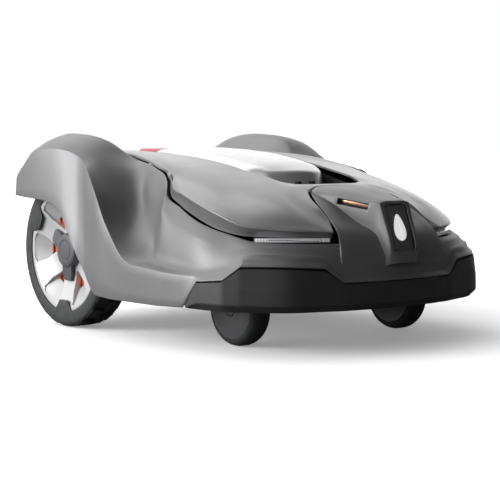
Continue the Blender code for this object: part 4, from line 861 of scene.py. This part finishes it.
class MOWER_OT_front_bumper(bpy.types.Operator):
    """Soft textured bumper round the nose"""

    bl_idname = "mower.front_bumper"
    bl_label = "Front bumper"

    def execute(self, context):
        steps, edge = shape().steps, shape().edge * BUMPER_SOFTNESS
        corners = {r: (2, 3, 5, 6, 7) for r in range(4)}
        columns = surface(BUMPER_SECTIONS, edge, steps, steps, corners, (1, 2))
        bumper = panel("front_bumper_fine", [column[::-1] for column in columns], BUMPER_WALL)
        dress(smoothed(bumper, 50), "shell", "bumper_charcoal", "front_bumper")
        # Painted shade: a black bar at each end of the bumper fills the slit between the bumper and the body, so
        # the slit reads dark.
        for name, side in SIDES:
            ends = [metres(side * x, y, z) for x, y, z in (SHADE_BAR_TOP, SHADE_BAR_FOOT)]
            gap_shade = round_bar("bumper_gap_shade_" + name, ends, SHADE_BAR_RADIUS)
            dress(smoothed(gap_shade), "shell", "black_plastic")
        return {"FINISHED"}


LEAF_WIDE, LEAF_TALL, LEAF_PROUD = 0.0105, 0.0200, 0.0014
LEAF_POINTS = 48
RIB_PLACES, RIB_HEIGHT, RIB_RADIUS = (-0.0195, -0.007, 0.005, 0.015), 0.0016, 0.0007


class MOWER_OT_badge(bpy.types.Operator):
    """Plain panel let into the nose, with a generic raised leaf"""

    bl_idname = "mower.badge"
    bl_label = "Nose panel"

    def execute(self, context):
        plane = badge_plane()
        plate = prism("badge_plate_fine", badge_outline(0.0007), FIT - BADGE_DEPTH, 0, plane)
        rounded(plate, 0.0004, 2)
        dress(smoothed(plate), "shell", "dark_grey_plastic", "badge_plate", finish="body_grey")
        leaf = []
        for step in range(LEAF_POINTS):
            angle = -2 * math.pi * step / LEAF_POINTS
            wide = LEAF_WIDE * math.sin(angle) * (1 - 0.35 * math.cos(angle))
            leaf.append((wide, LEAF_TALL * math.cos(angle)))
        blade = prism("badge_leaf_fine", leaf, FIT, LEAF_PROUD, plane)
        rib = round_bar("rib", [plane @ Vector((0, y, RIB_HEIGHT)) for y in RIB_PLACES], RIB_RADIUS)
        rounded(blade, 0.0004, 2)
        cut(blade, rib)
        dress(smoothed(blade), "shell", "rim_silver", "badge_leaf", finish="leaf_white")
        return {"FINISHED"}


LAMP_FRONT = ((110, -318), (124, -311), (146, -298), (167, -284), (184, -270), (197, -256))
LAMP_DEPTH = Vector((-0.006, 0.010))
LAMP_CELL, LAMP_SPLIT = 0.75, 0.0012
LAMP_SEAM = (0.3, 0.3, 0.62, 0.62)


class MOWER_OT_headlights(bpy.types.Operator):
    """Light bars in the slots under the brows, each with a short inner cell and a black bezel"""

    bl_idname = "mower.headlights"
    bl_label = "Headlights"

    def execute(self, context):
        low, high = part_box("headlight_left")
        front = [metres(x, y, 0).xy for x, y in LAMP_FRONT]
        cell_end = front[0].lerp(front[1], LAMP_CELL)
        bar_start = cell_end + (front[1] - front[0]).normalized() * LAMP_SPLIT
        for name, side in SIDES:
            pieces = []
            for label, line in (("cell", [front[0], cell_end]), ("bar", [bar_start, *front[1:]])):
                back = [point + LAMP_DEPTH for point in reversed(line)]
                outline = [(point.x, point.y) for point in line + back]
                lens = prism("headlight_%s_%s" % (label, name), outline, low.z, high.z)
                pieces.append(rounded(lens, 0.0006, 3))
            seam = [
                (point.x, point.y, low.z + (high.z - low.z) * share) for point, share in zip(front[1:5], LAMP_SEAM)
            ]
            pieces.append(round_bar("headlight_seam_" + name, seam, 0.0004))
            if side < 0:
                for piece in pieces:
                    flipped(piece)
            dress(smoothed(pieces[0]), "shell", "headlight_lens")
            dress(smoothed(pieces[1]), "shell", "headlight_lens", "headlight_" + name)
            dress(smoothed(pieces[2]), "shell", "black_plastic")
        return {"FINISHED"}


POCKET_DEPTH = 0.0045


class MOWER_OT_contacts(bpy.types.Operator):
    """Copper charging strips in black housings beside the nose"""

    bl_idname = "mower.contacts"
    bl_label = "Charging contacts"

    def execute(self, context):
        for name, side in SIDES:
            housing = slot_block("contact_housing_fine_" + name, side, FIT, 0.010, -0.0012)
            cut(housing, slot_block("pocket", side, 0.0014, POCKET_DEPTH, CLEAR))
            rounded(housing, 0.0003, 2)
            dress(smoothed(housing), "shell", "black_plastic", "contact_housing_" + name)
            floor = POCKET_DEPTH - FIT
            strip = slot_block("contact_plate_fine_" + name, side, 0.0019, floor, -0.0018, 0.0005)
            dress(smoothed(strip), "shell", "contact_copper", "contact_plate_" + name)
        return {"FINISHED"}


STOP_GAP = Vector((0.0015, 0.0015, 0.03))
GRIP_FIRST, GRIP_STEP, GRIP_HALF, GRIP_RADIUS = 0.014, 0.007, 0.020, 0.0011


class MOWER_OT_rear_panels(bpy.types.Operator):
    """Tail panel, stop button and the panel round it"""

    bl_idname = "mower.rear_panels"
    bl_label = "Tail and stop button"

    def execute(self, context):
        tail = panel("tail_panel_fine", surface(TAIL_SECTIONS, shape().edge, 4, 5), SKIN)
        dress(smoothed(tail), "shell", "dark_grey_plastic", "tail_panel")
        low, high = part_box("stop_surround")
        surround = block("stop_surround_fine", low, high, 0.002)
        button_low, button_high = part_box("stop_button")
        cut(surround, block("hole", button_low - STOP_GAP, button_high + STOP_GAP))
        dress(smoothed(rounded(surround, 0.0005, 2)), "shell", "dark_grey_plastic", "stop_surround")
        button = block("stop_button_fine", button_low, button_high, 0.0045, 5)
        for number in range(3):
            y = button_high.y - GRIP_FIRST - number * GRIP_STEP
            bar = [(x, y, button_high.z + 0.0004) for x in (-GRIP_HALF, GRIP_HALF)]
            cut(button, round_bar("grip", bar, GRIP_RADIUS))
        dress(smoothed(button), "stop_button", "stop_red", "stop_button")
        return {"FINISHED"}


class MOWER_OT_console(bpy.types.Operator):
    """Bowl round the console, its keys and its display"""

    bl_idname = "mower.console"
    bl_label = "Console"

    def execute(self, context):
        tray = panel("console_tray_fine", surface(TRAY_SECTIONS, 0.002, 4, 4, creased=(1,)), 0.002)
        dress(smoothed(tray), "shell", "black_plastic", "console_tray")
        for node in ("power_key", "start_key", "back_key", "ok_key", "arrow_pad"):
            dress_node(node, "dark_grey_plastic", 0.0006)
        dress_node("display_screen", "circuit_board", 0.0002)
        dress_node("display_glass", "display_glass", 0.0002)
        return {"FINISHED"}


HINGE, ARM_TOP = metres(0, -138, 224), metres(0, -133, 243)
ARM_PLACE, ARM_HALF = 0.014, 0.003
GROOVE_COLUMN = 11
GROOVE_SHIFTS = (0, 0, 0, -0.0020, -0.0022, 0, 0, 0, 0.0025, 0.0050, 0.0050, 0.0080, 0.0080)
GROOVE_RADIUS = 0.0005


class MOWER_OT_hatch(bpy.types.Operator):
    """Hatch over the console, with its hinge arms"""

    bl_idname = "mower.hatch"
    bl_label = "Hatch"

    def execute(self, context):
        corners = {row: (5,) for row in range(5)}
        grid = surface(HATCH_SECTIONS, 0.002, 4, 4, corners, (3,), False, flat_across=True)
        lid = panel("hatch_fine", grid, SKIN)
        for x in (-ARM_PLACE, ARM_PLACE):
            low = (x - ARM_HALF, HINGE.y - 0.002, HINGE.z)
            arm = block("arm", low, (x + ARM_HALF, ARM_TOP.y + 0.006, ARM_TOP.z - 0.004))
            join(arm, drum("eye", (x, HINGE.y, HINGE.z), 0.005, 0.0058, 40))
            cut(arm, drum("hole", (x, HINGE.y, HINGE.z), 0.0028, 0.02, 32))
            arm.name = "hatch_arm_%s" % ("left" if x > 0 else "right")
            dress(smoothed(arm), "hatch", "black_plastic")
        half_line = [point + Vector((0, shift, 0)) for point, shift in zip(grid[GROOVE_COLUMN], GROOVE_SHIFTS)]
        line = [MIRROR_X @ point for point in half_line[:0:-1]] + half_line
        cut(lid, round_bar("line", line, GROOVE_RADIUS))
        dress(smoothed(lid, 45), "hatch", "hatch_silver", "hatch")
        dress_node("hatch_pin", "black_plastic", 0.0003)
        return {"FINISHED"}


# ======== wheels ========


WHEEL_RADIUS = 0.124
WHEEL_HALF = 0.0275
RIM_EDGE = 0.099
RIM_DISH = WHEEL_HALF - 0.016
LUG_HALF, LUG_SLANT = 0.0115, 0.005
SPREAD = [math.radians(a) for a in (30, 150, 270)]


def wheel_plane():
    """A drawing plane across the wheel: its first axis points back, its second up, and it faces outwards."""
    return Matrix(((0, 0, 1, 0), (1, 0, 0, 0), (0, 1, 0, 0), (0, 0, 0, 1)))


def turned_to(angle, outline):
    """The outline turned by an angle about the wheel's middle."""
    sine, cosine = math.sin(angle), math.cos(angle)
    return [(y * cosine - z * sine, y * sine + z * cosine) for y, z in outline]


def tongue(angle, grow, low, high):
    """A tongue of the tyre's side that reaches in over the rim's face."""
    inner, outer = RIM_EDGE - 0.018 - grow, RIM_EDGE + 0.004
    narrow, wide = math.radians(8) + grow / inner, math.radians(15) + grow / outer
    outline = [(inner * math.cos(-narrow), inner * math.sin(-narrow))]
    outline += [(outer * math.cos(wide * k / 4), outer * math.sin(wide * k / 4)) for k in range(-4, 5)]
    outline.append((inner * math.cos(narrow), inner * math.sin(narrow)))
    return prism("tongue", turned_to(angle, outline), low, high, wheel_plane())


def make_tyre():
    """Sidewalls, three tongues over the rim, and a tread of lugs in two staggered rows."""
    half, foot = WHEEL_HALF, WHEEL_RADIUS - shape().lug_depth
    profile = [
        (RIM_EDGE + FIT, half - 0.0010), (RIM_EDGE + 0.001, half - 0.0004), (RIM_EDGE + 0.004, half),
        (0.1160, half), (0.1192, half - 0.0010), (0.1212, half - 0.0030), (0.1216, half - 0.0060),
        (foot, half - 0.0090), (foot, 0.0090 - half), (0.1216, 0.0060 - half), (0.1212, 0.0030 - half),
        (0.1192, 0.0010 - half), (0.1160, -half), (RIM_EDGE + FIT, -half),
    ]
    ring = spun("tyre", profile, 120, closed=True)
    for angle in SPREAD:
        join(ring, rounded(tongue(angle, 0, half - 0.0035, half - 0.0003), 0.0005, 2))
    lugs = []
    count = shape().lugs
    for row, shift in ((1, 0.0), (-1, 0.5)):
        low_x, high_x = sorted((row * 0.001, row * (half - 0.0032)))
        first = block("lug", (low_x, -LUG_HALF, foot - 0.002), (high_x, LUG_HALF, WHEEL_RADIUS), 0.0011, 2)
        for vert in first.data.vertices:
            vert.co.y += LUG_SLANT * abs(vert.co.x) / half
            vert.co.z += math.sqrt(WHEEL_RADIUS**2 - vert.co.y**2) - WHEEL_RADIUS
            if abs(vert.co.x) > half - 0.006 and vert.co.z > 0.1212:
                vert.co.z -= 0.0012
        lugs += copies_round(first, count, shift)
    return gathered(ring, lugs)


def copies_round(first, count, shift):
    """Copies of a piece round the X axis, each with its own mesh."""
    made = []
    for number in range(count):
        other = first.copy()
        other.data = first.data.copy()
        bpy.context.scene.collection.objects.link(other)
        other.data.transform(Matrix.Rotation(2 * math.pi * (number + shift) / count, 4, "X"))
        made.append(other)
    bpy.data.objects.remove(first)
    return made


def gathered(obj, others):
    """Joins several objects into the first without changing their shapes."""
    choose(obj)
    for other in others:
        other.select_set(True)
    bpy.ops.object.join()
    return obj


def make_rim():
    """A dished rim with six spokes, sloping bays between them and an opening at the foot of each bay."""
    half, edge, dish = WHEEL_HALF, RIM_EDGE, RIM_DISH
    profile = [
        (0.0063, dish), (0.040, dish), (0.052, dish + 0.0022), (0.084, 0.0215), (0.0895, 0.0243), (0.0925, 0.0253),
        (edge - 0.0008, 0.0255), (edge, 0.0248), (edge, -half + 0.001), (edge - 0.004, -half + 0.001),
        (edge - 0.004, 0.0110), (0.050, 0.0030), (0.024, 0.0030), (0.018, -half + 0.010), (0.0063, -half + 0.010),
    ]
    rim = spun("rim", profile, 120, closed=True)
    bay = [(0.0400, -0.0020), (0.0660, -0.0185), (0.0860, -0.0240), (0.0905, -0.0180), (0.0925, 0.0),
           (0.0905, 0.0180), (0.0860, 0.0240), (0.0660, 0.0185), (0.0400, 0.0020)]
    hole = [(0.0380, -0.0020), (0.0605, -0.0135), (0.0635, -0.0110),
            (0.0635, 0.0110), (0.0605, 0.0135), (0.0380, 0.0020)]
    for number in range(6):
        turn = Matrix.Rotation(2 * math.pi * number / 6, 4, "Z")
        cutter = prism("bay", bay, 0, 0.03)
        for vert in cutter.data.vertices:
            if vert.co.z < 0.001:
                vert.co.z = 0.0255 - (0.0935 - vert.co.x) * 0.60
        cutter.data.transform(wheel_plane() @ turn)
        through_hole = prism("hole", hole, -0.01, 0.03, wheel_plane() @ turn)
        cut(rim, cutter, through_hole)
    for angle in SPREAD:
        cut(rim, tongue(angle, 0.0006, half - 0.0038, half + 0.01))
    return rounded(rim, 0.0006, 2, 28)


def make_insert():
    """The bright disc behind the rim's openings."""
    profile = [(0.0245, 0.0024), (0.0700, 0.0024), (0.0706, 0.0018), (0.0706, 0.0006), (0.0245, 0.0006)]
    return spun("insert", profile, closed=True)


def make_cap():
    """The cap over the shaft's end, with three arms and a plain raised disc."""
    foot = RIM_DISH + FIT
    top = foot + 0.012
    profile = [(0, top), (0.0150, top), (0.0154, top - 0.0006), (0.0164, top - 0.0006), (0.0168, top - 0.0001),
               (0.0230, top - 0.0004), (0.0262, top - 0.0018), (0.0280, top - 0.0045), (0.0288, foot), (0, foot)]
    cap = spun("cap", profile)
    arm = [(0.010, -0.0125), (0.036, -0.0130), (0.0475, -0.0105), (0.0490, -0.0080), (0.0490, 0.0080),
           (0.0475, 0.0105), (0.036, 0.0130), (0.010, 0.0125)]
    for angle in SPREAD:
        limb = prism("arm", turned_to(angle, arm), foot + 0.0022, top - 0.0032, wheel_plane())
        for vert in limb.data.vertices:
            if vert.co.x > foot + 0.004:
                reach = math.hypot(vert.co.y, vert.co.z)
                vert.co.x -= max(0.0, reach - 0.030) * 0.12
        join(cap, limb)
    return rounded(cap, 0.0009, 3, 28)


class MOWER_OT_rear_wheels(bpy.types.Operator):
    """Rear wheels: lugged tyres, dished rims, bright inserts and hub caps"""

    bl_idname = "mower.rear_wheels"
    bl_label = "Rear wheels"

    def execute(self, context):
        low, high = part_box("rear_tyre_left")
        centre = (low + high) / 2
        pieces = (
            (make_tyre, "rear_tyre_", "tyre_rubber"), (make_rim, "rear_rim_", "rim_silver"),
            (make_insert, "rim_insert_", "orange_plastic"), (make_cap, "hub_cap_", "dark_grey_plastic"),
        )
        for maker, node, slot in pieces:
            piece = maker()
            piece.name = node + "fine_left"
            piece.data.transform(Matrix.Translation(centre))
            smoothed(piece, 40)
            other = mirrored(piece, node + "fine_right")
            dress(piece, "rear_wheel_left", slot, node + "left")
            dress(other, "rear_wheel_right", slot, node + "right")
        return {"FINISHED"}


class MOWER_OT_casters(bpy.types.Operator):
    """Swivel casters: rounded smooth wheels with a cap over the axle, and their forks"""

    bl_idname = "mower.casters"
    bl_label = "Front casters"

    def execute(self, context):
        low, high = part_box("caster_wheel_left")
        centre = (low + high) / 2
        face, radius = (high.x - low.x) / 2, (high.z - low.z) / 2
        shoulder = [(0.0470, 0.0006), (0.0505, 0.0025), (0.0532, 0.0052), (0.0549, 0.0085), (radius, 0.0125)]
        seam = [(radius, 0.0006), (radius - 0.0004, 0.0002), (radius - 0.0004, -0.0002), (radius, -0.0006)]
        profile = [(0.0464, face - 0.0006), *((r, face - inset) for r, inset in shoulder), *seam]
        profile += [*((r, inset - face) for r, inset in reversed(shoulder)), (0.0464, 0.0006 - face)]
        tread = spun("caster_wheel_fine_left", profile, 120, closed=True)
        profile = [
            (0, face - 0.0002), (0.0100, face - 0.0002), (0.0104, face - 0.0006), (0.0104, face - 0.0022),
            (0.0114, face - 0.0022), (0.0114, face - 0.0006), (0.0118, face - 0.0002), (0.0445, face - 0.0003),
            (0.0458, face - 0.0012), (0.0461, face - 0.0030), (0.0461, 0.0030 - face), (0.0445, 0.0003 - face),
            (0.0120, 0.0003 - face), (0.0055, 0.0003 - face), (0.0055, face - 0.0040), (0, face - 0.0040),
        ]
        core = spun("caster_core_fine_left", profile, 120)
        cut(core, block("slot", (face - 0.0012, -0.0045, -0.0008), (face + 0.002, 0.0045, 0.0008)))
        for piece, name, slot in (
            (tread, "caster_wheel_fine_right", "tyre_rubber"),
            (core, "caster_core_fine_right", "dark_grey_plastic"),
        ):
            piece.data.transform(Matrix.Translation(centre))
            other = mirrored(smoothed(piece), name)
            for side_piece, side in ((piece, "left"), (other, "right")):
                nodes = ("caster_wheel_" + side,) if piece is tread else ()
                dress(side_piece, "caster_wheel_" + side, slot, *nodes)
        for name, _ in SIDES:
            dress_node("caster_fork_" + name, "dark_grey_plastic", 0.0008)
            dress_node("caster_bush_" + name, "black_plastic", 0.0003)
        return {"FINISHED"}


INNER_EDGE = 0.0005
INNER_EDGES = {
    "blade_1": 0.00015, "blade_2": 0.00015, "blade_3": 0.00015, "chassis_base": 0.0012, "chassis_lid": 0.0012,
    "carry_handle": 0.001, "skid_plate": 0.0004, "blade_disc": 0.0004, "height_screw": 0.0002,
}


class MOWER_OT_inner_parts(bpy.types.Operator):
    """Finishes and small edge radii for the chassis, the drive and the cutting system"""

    bl_idname = "mower.inner_parts"
    bl_label = "Chassis and cutting system"

    def execute(self, context):
        for subpart in frame["record"]["subparts"]:
            node = subpart["node"]
            obj = frame["nodes"][node]
            if not obj.hide_render and "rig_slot" not in obj:
                dress_node(node, subpart["material_slot"], INNER_EDGES.get(node, INNER_EDGE))
        return {"FINISHED"}


# ======== the stage ========


CAMERA_TURN, CAMERA_RISE = math.radians(-38.6814), math.radians(3.748)
CAMERA_DISTANCE = 2.4065
CAMERA_TARGET = Vector((0, 0, 0.150))
CAMERA_LENS, CAMERA_SENSOR = 105.96, 36
CAMERA_SHIFT = (-0.0012, -0.0324)
FLOOR_SIZE = 40
LIGHT_TARGET = Vector((0, 0, 0.12))
SIDE_BOX, SIDE_BOX_SIZE = Vector((-2.9, 1.3, 1.0)), (1.6, 1.6)
TOP_BOX, TOP_BOX_SIZE = Vector((-0.3, 1.3, 2.6)), (2.6, 2.0)
# a glow's direction, the cosines where it starts and is full, and its strength
SIDE_GLOW = ((-0.93, 0.28, 0.24), 0.30, 0.95, 1.6)
REAR_GLOW = ((0.45, 0.85, 0.30), 0.35, 0.95, 1.3)
DARK_LEVEL = 0.035
PAPER_THROWN, PAPER_SEEN = (0.16, 0.16, 0.16, 1), (0.88, 0.88, 0.88, 1)
PAPER_ROUGHNESS = 0.9
PAPER_NEAR, PAPER_FAR = 0.30, 1.1
PAPER_GLOW_NEAR, PAPER_GLOW_FAR = 0.25, 1.0


def area_light(name, place, size, energy):
    bpy.ops.object.light_add(type="AREA", location=place)
    lamp = bpy.context.view_layer.objects.active
    lamp.name = name
    lamp.data.shape = "RECTANGLE"
    lamp.data.size, lamp.data.size_y = size
    lamp.data.energy = energy
    lamp.rotation_euler = (LIGHT_TARGET - place).to_track_quat("-Z", "Y").to_euler()


def make_paper():
    """Pale paper that glows to white away from the mower, and throws little light back on it."""
    paper = bpy.data.materials.new("pale_floor")
    nodes = Nodes(paper, "Principled BSDF")
    inputs = nodes.shader.inputs
    inputs["Roughness"].default_value = PAPER_ROUGHNESS
    inputs["Emission Color"].default_value = WHITE
    seen = nodes.node("ShaderNodeLightPath").outputs["Is Camera Ray"]
    tone = nodes.node("ShaderNodeMix", data_type="RGBA")
    tone.inputs["A"].default_value = PAPER_THROWN
    tone.inputs["B"].default_value = PAPER_SEEN
    nodes.link(seen, tone.inputs["Factor"])
    nodes.link(tone.outputs["Result"], inputs["Base Color"])
    reach = nodes.node("ShaderNodeVectorMath", operation="LENGTH")
    nodes.link(nodes.node("ShaderNodeTexCoord").outputs["Object"], reach.inputs[0])
    fade = nodes.spread(
        reach.outputs["Value"], PAPER_GLOW_NEAR, PAPER_GLOW_FAR, PAPER_NEAR, PAPER_FAR,
        interpolation_type="SMOOTHSTEP",
    )
    nodes.link(nodes.maths("MULTIPLY", fade, seen), inputs["Emission Strength"])
    return paper


def glow(nodes, direction, start, full, level):
    """A soft patch of the surroundings, brightest towards the given direction."""
    toward = nodes.node("ShaderNodeVectorMath", operation="DOT_PRODUCT")
    toward.inputs[1].default_value = Vector(direction).normalized()
    nodes.link(nodes.node("ShaderNodeTexCoord").outputs["Generated"], toward.inputs[0])
    return nodes.spread(toward.outputs["Value"], 0.0, level, start, full, interpolation_type="SMOOTHSTEP")


def make_backdrop(brightness):
    """White for the camera; for the mower, dark ahead and bright to its right side and behind it."""
    world = bpy.data.worlds.new("soft_studio")
    bpy.context.scene.world = world
    nodes = Nodes(world, "Background")
    glows = nodes.maths("ADD", glow(nodes, *SIDE_GLOW), glow(nodes, *REAR_GLOW))
    choice = nodes.node("ShaderNodeMix")
    choice.inputs["B"].default_value = brightness
    nodes.link(nodes.node("ShaderNodeLightPath").outputs["Is Camera Ray"], choice.inputs["Factor"])
    nodes.link(nodes.maths("ADD", glows, DARK_LEVEL), choice.inputs["A"])
    nodes.link(choice.outputs["Result"], nodes.shader.inputs["Strength"])
    nodes.shader.inputs["Color"].default_value = WHITE


class MOWER_OT_stage(bpy.types.Operator):
    """Pale floor, soft lights and the camera"""

    bl_idname = "mower.stage"
    bl_label = "Stage"

    def execute(self, context):
        stage = context.scene.mower_stage
        bpy.ops.mesh.primitive_plane_add(size=FLOOR_SIZE)
        floor = added("floor")
        floor.data.materials.append(make_paper())
        area_light("side_softbox", SIDE_BOX, SIDE_BOX_SIZE, stage.side_light)
        area_light("top_softbox", TOP_BOX, TOP_BOX_SIZE, stage.top_light)
        make_backdrop(stage.backdrop)
        turn, rise = CAMERA_TURN, CAMERA_RISE
        level = math.cos(rise)
        back = Vector((math.sin(turn) * level, -math.cos(turn) * level, math.sin(rise)))
        bpy.ops.object.camera_add(location=CAMERA_TARGET + back * CAMERA_DISTANCE)
        camera = bpy.context.view_layer.objects.active
        camera.rotation_euler = (-back).to_track_quat("-Z", "Y").to_euler()
        camera.data.sensor_width = CAMERA_SENSOR
        camera.data.lens = CAMERA_LENS
        camera.data.shift_x, camera.data.shift_y = CAMERA_SHIFT
        context.scene.camera = camera
        context.scene.view_settings.view_transform = "Standard"
        return {"FINISHED"}


class MOWER_OT_finishes(bpy.types.Operator):
    """Procedural finishes of every material slot"""

    bl_idname = "mower.finishes"
    bl_label = "Finishes"

    def execute(self, context):
        FINISHES.update(make_finishes(context.scene.mower_colours))
        return {"FINISHED"}


# ======== add-on ========


class MOWER_PT_sidebar(bpy.types.Panel):
    """Steps that build the mower, in order"""

    bl_idname = "MOWER_PT_sidebar"
    bl_label = "Robotic lawn mower"
    bl_space_type = "VIEW_3D"
    bl_region_type = "UI"
    bl_category = "Mower"

    def draw(self, context):
        for group in (context.scene.mower_colours, context.scene.mower_shape, context.scene.mower_stage):
            box = self.layout.box()
            for label in group.__annotations__:
                box.prop(group, label)
        for step in STEPS:
            self.layout.operator(step.bl_idname)


STEPS = (
    MOWER_OT_finishes, MOWER_OT_body_shell, MOWER_OT_top_cover, MOWER_OT_front_bumper, MOWER_OT_badge,
    MOWER_OT_headlights, MOWER_OT_contacts, MOWER_OT_rear_panels, MOWER_OT_console, MOWER_OT_hatch,
    MOWER_OT_rear_wheels, MOWER_OT_casters, MOWER_OT_inner_parts, MOWER_OT_stage,
)
GROUPS = (("mower_colours", MowerColours), ("mower_shape", MowerShape), ("mower_stage", MowerStage))


def register():
    for label, group in GROUPS:
        bpy.utils.register_class(group)
        setattr(bpy.types.Scene, label, PointerProperty(type=group))
    for step in (*STEPS, MOWER_PT_sidebar):
        bpy.utils.register_class(step)


def unregister():
    for step in reversed((*STEPS, MOWER_PT_sidebar)):
        bpy.utils.unregister_class(step)
    for label, group in reversed(GROUPS):
        delattr(bpy.types.Scene, label)
        bpy.utils.unregister_class(group)


def main():
    register()
    for step in STEPS:
        group, name = step.bl_idname.split(".")
        getattr(getattr(bpy.ops, group), name)()


if __name__ == "__main__":
    main()
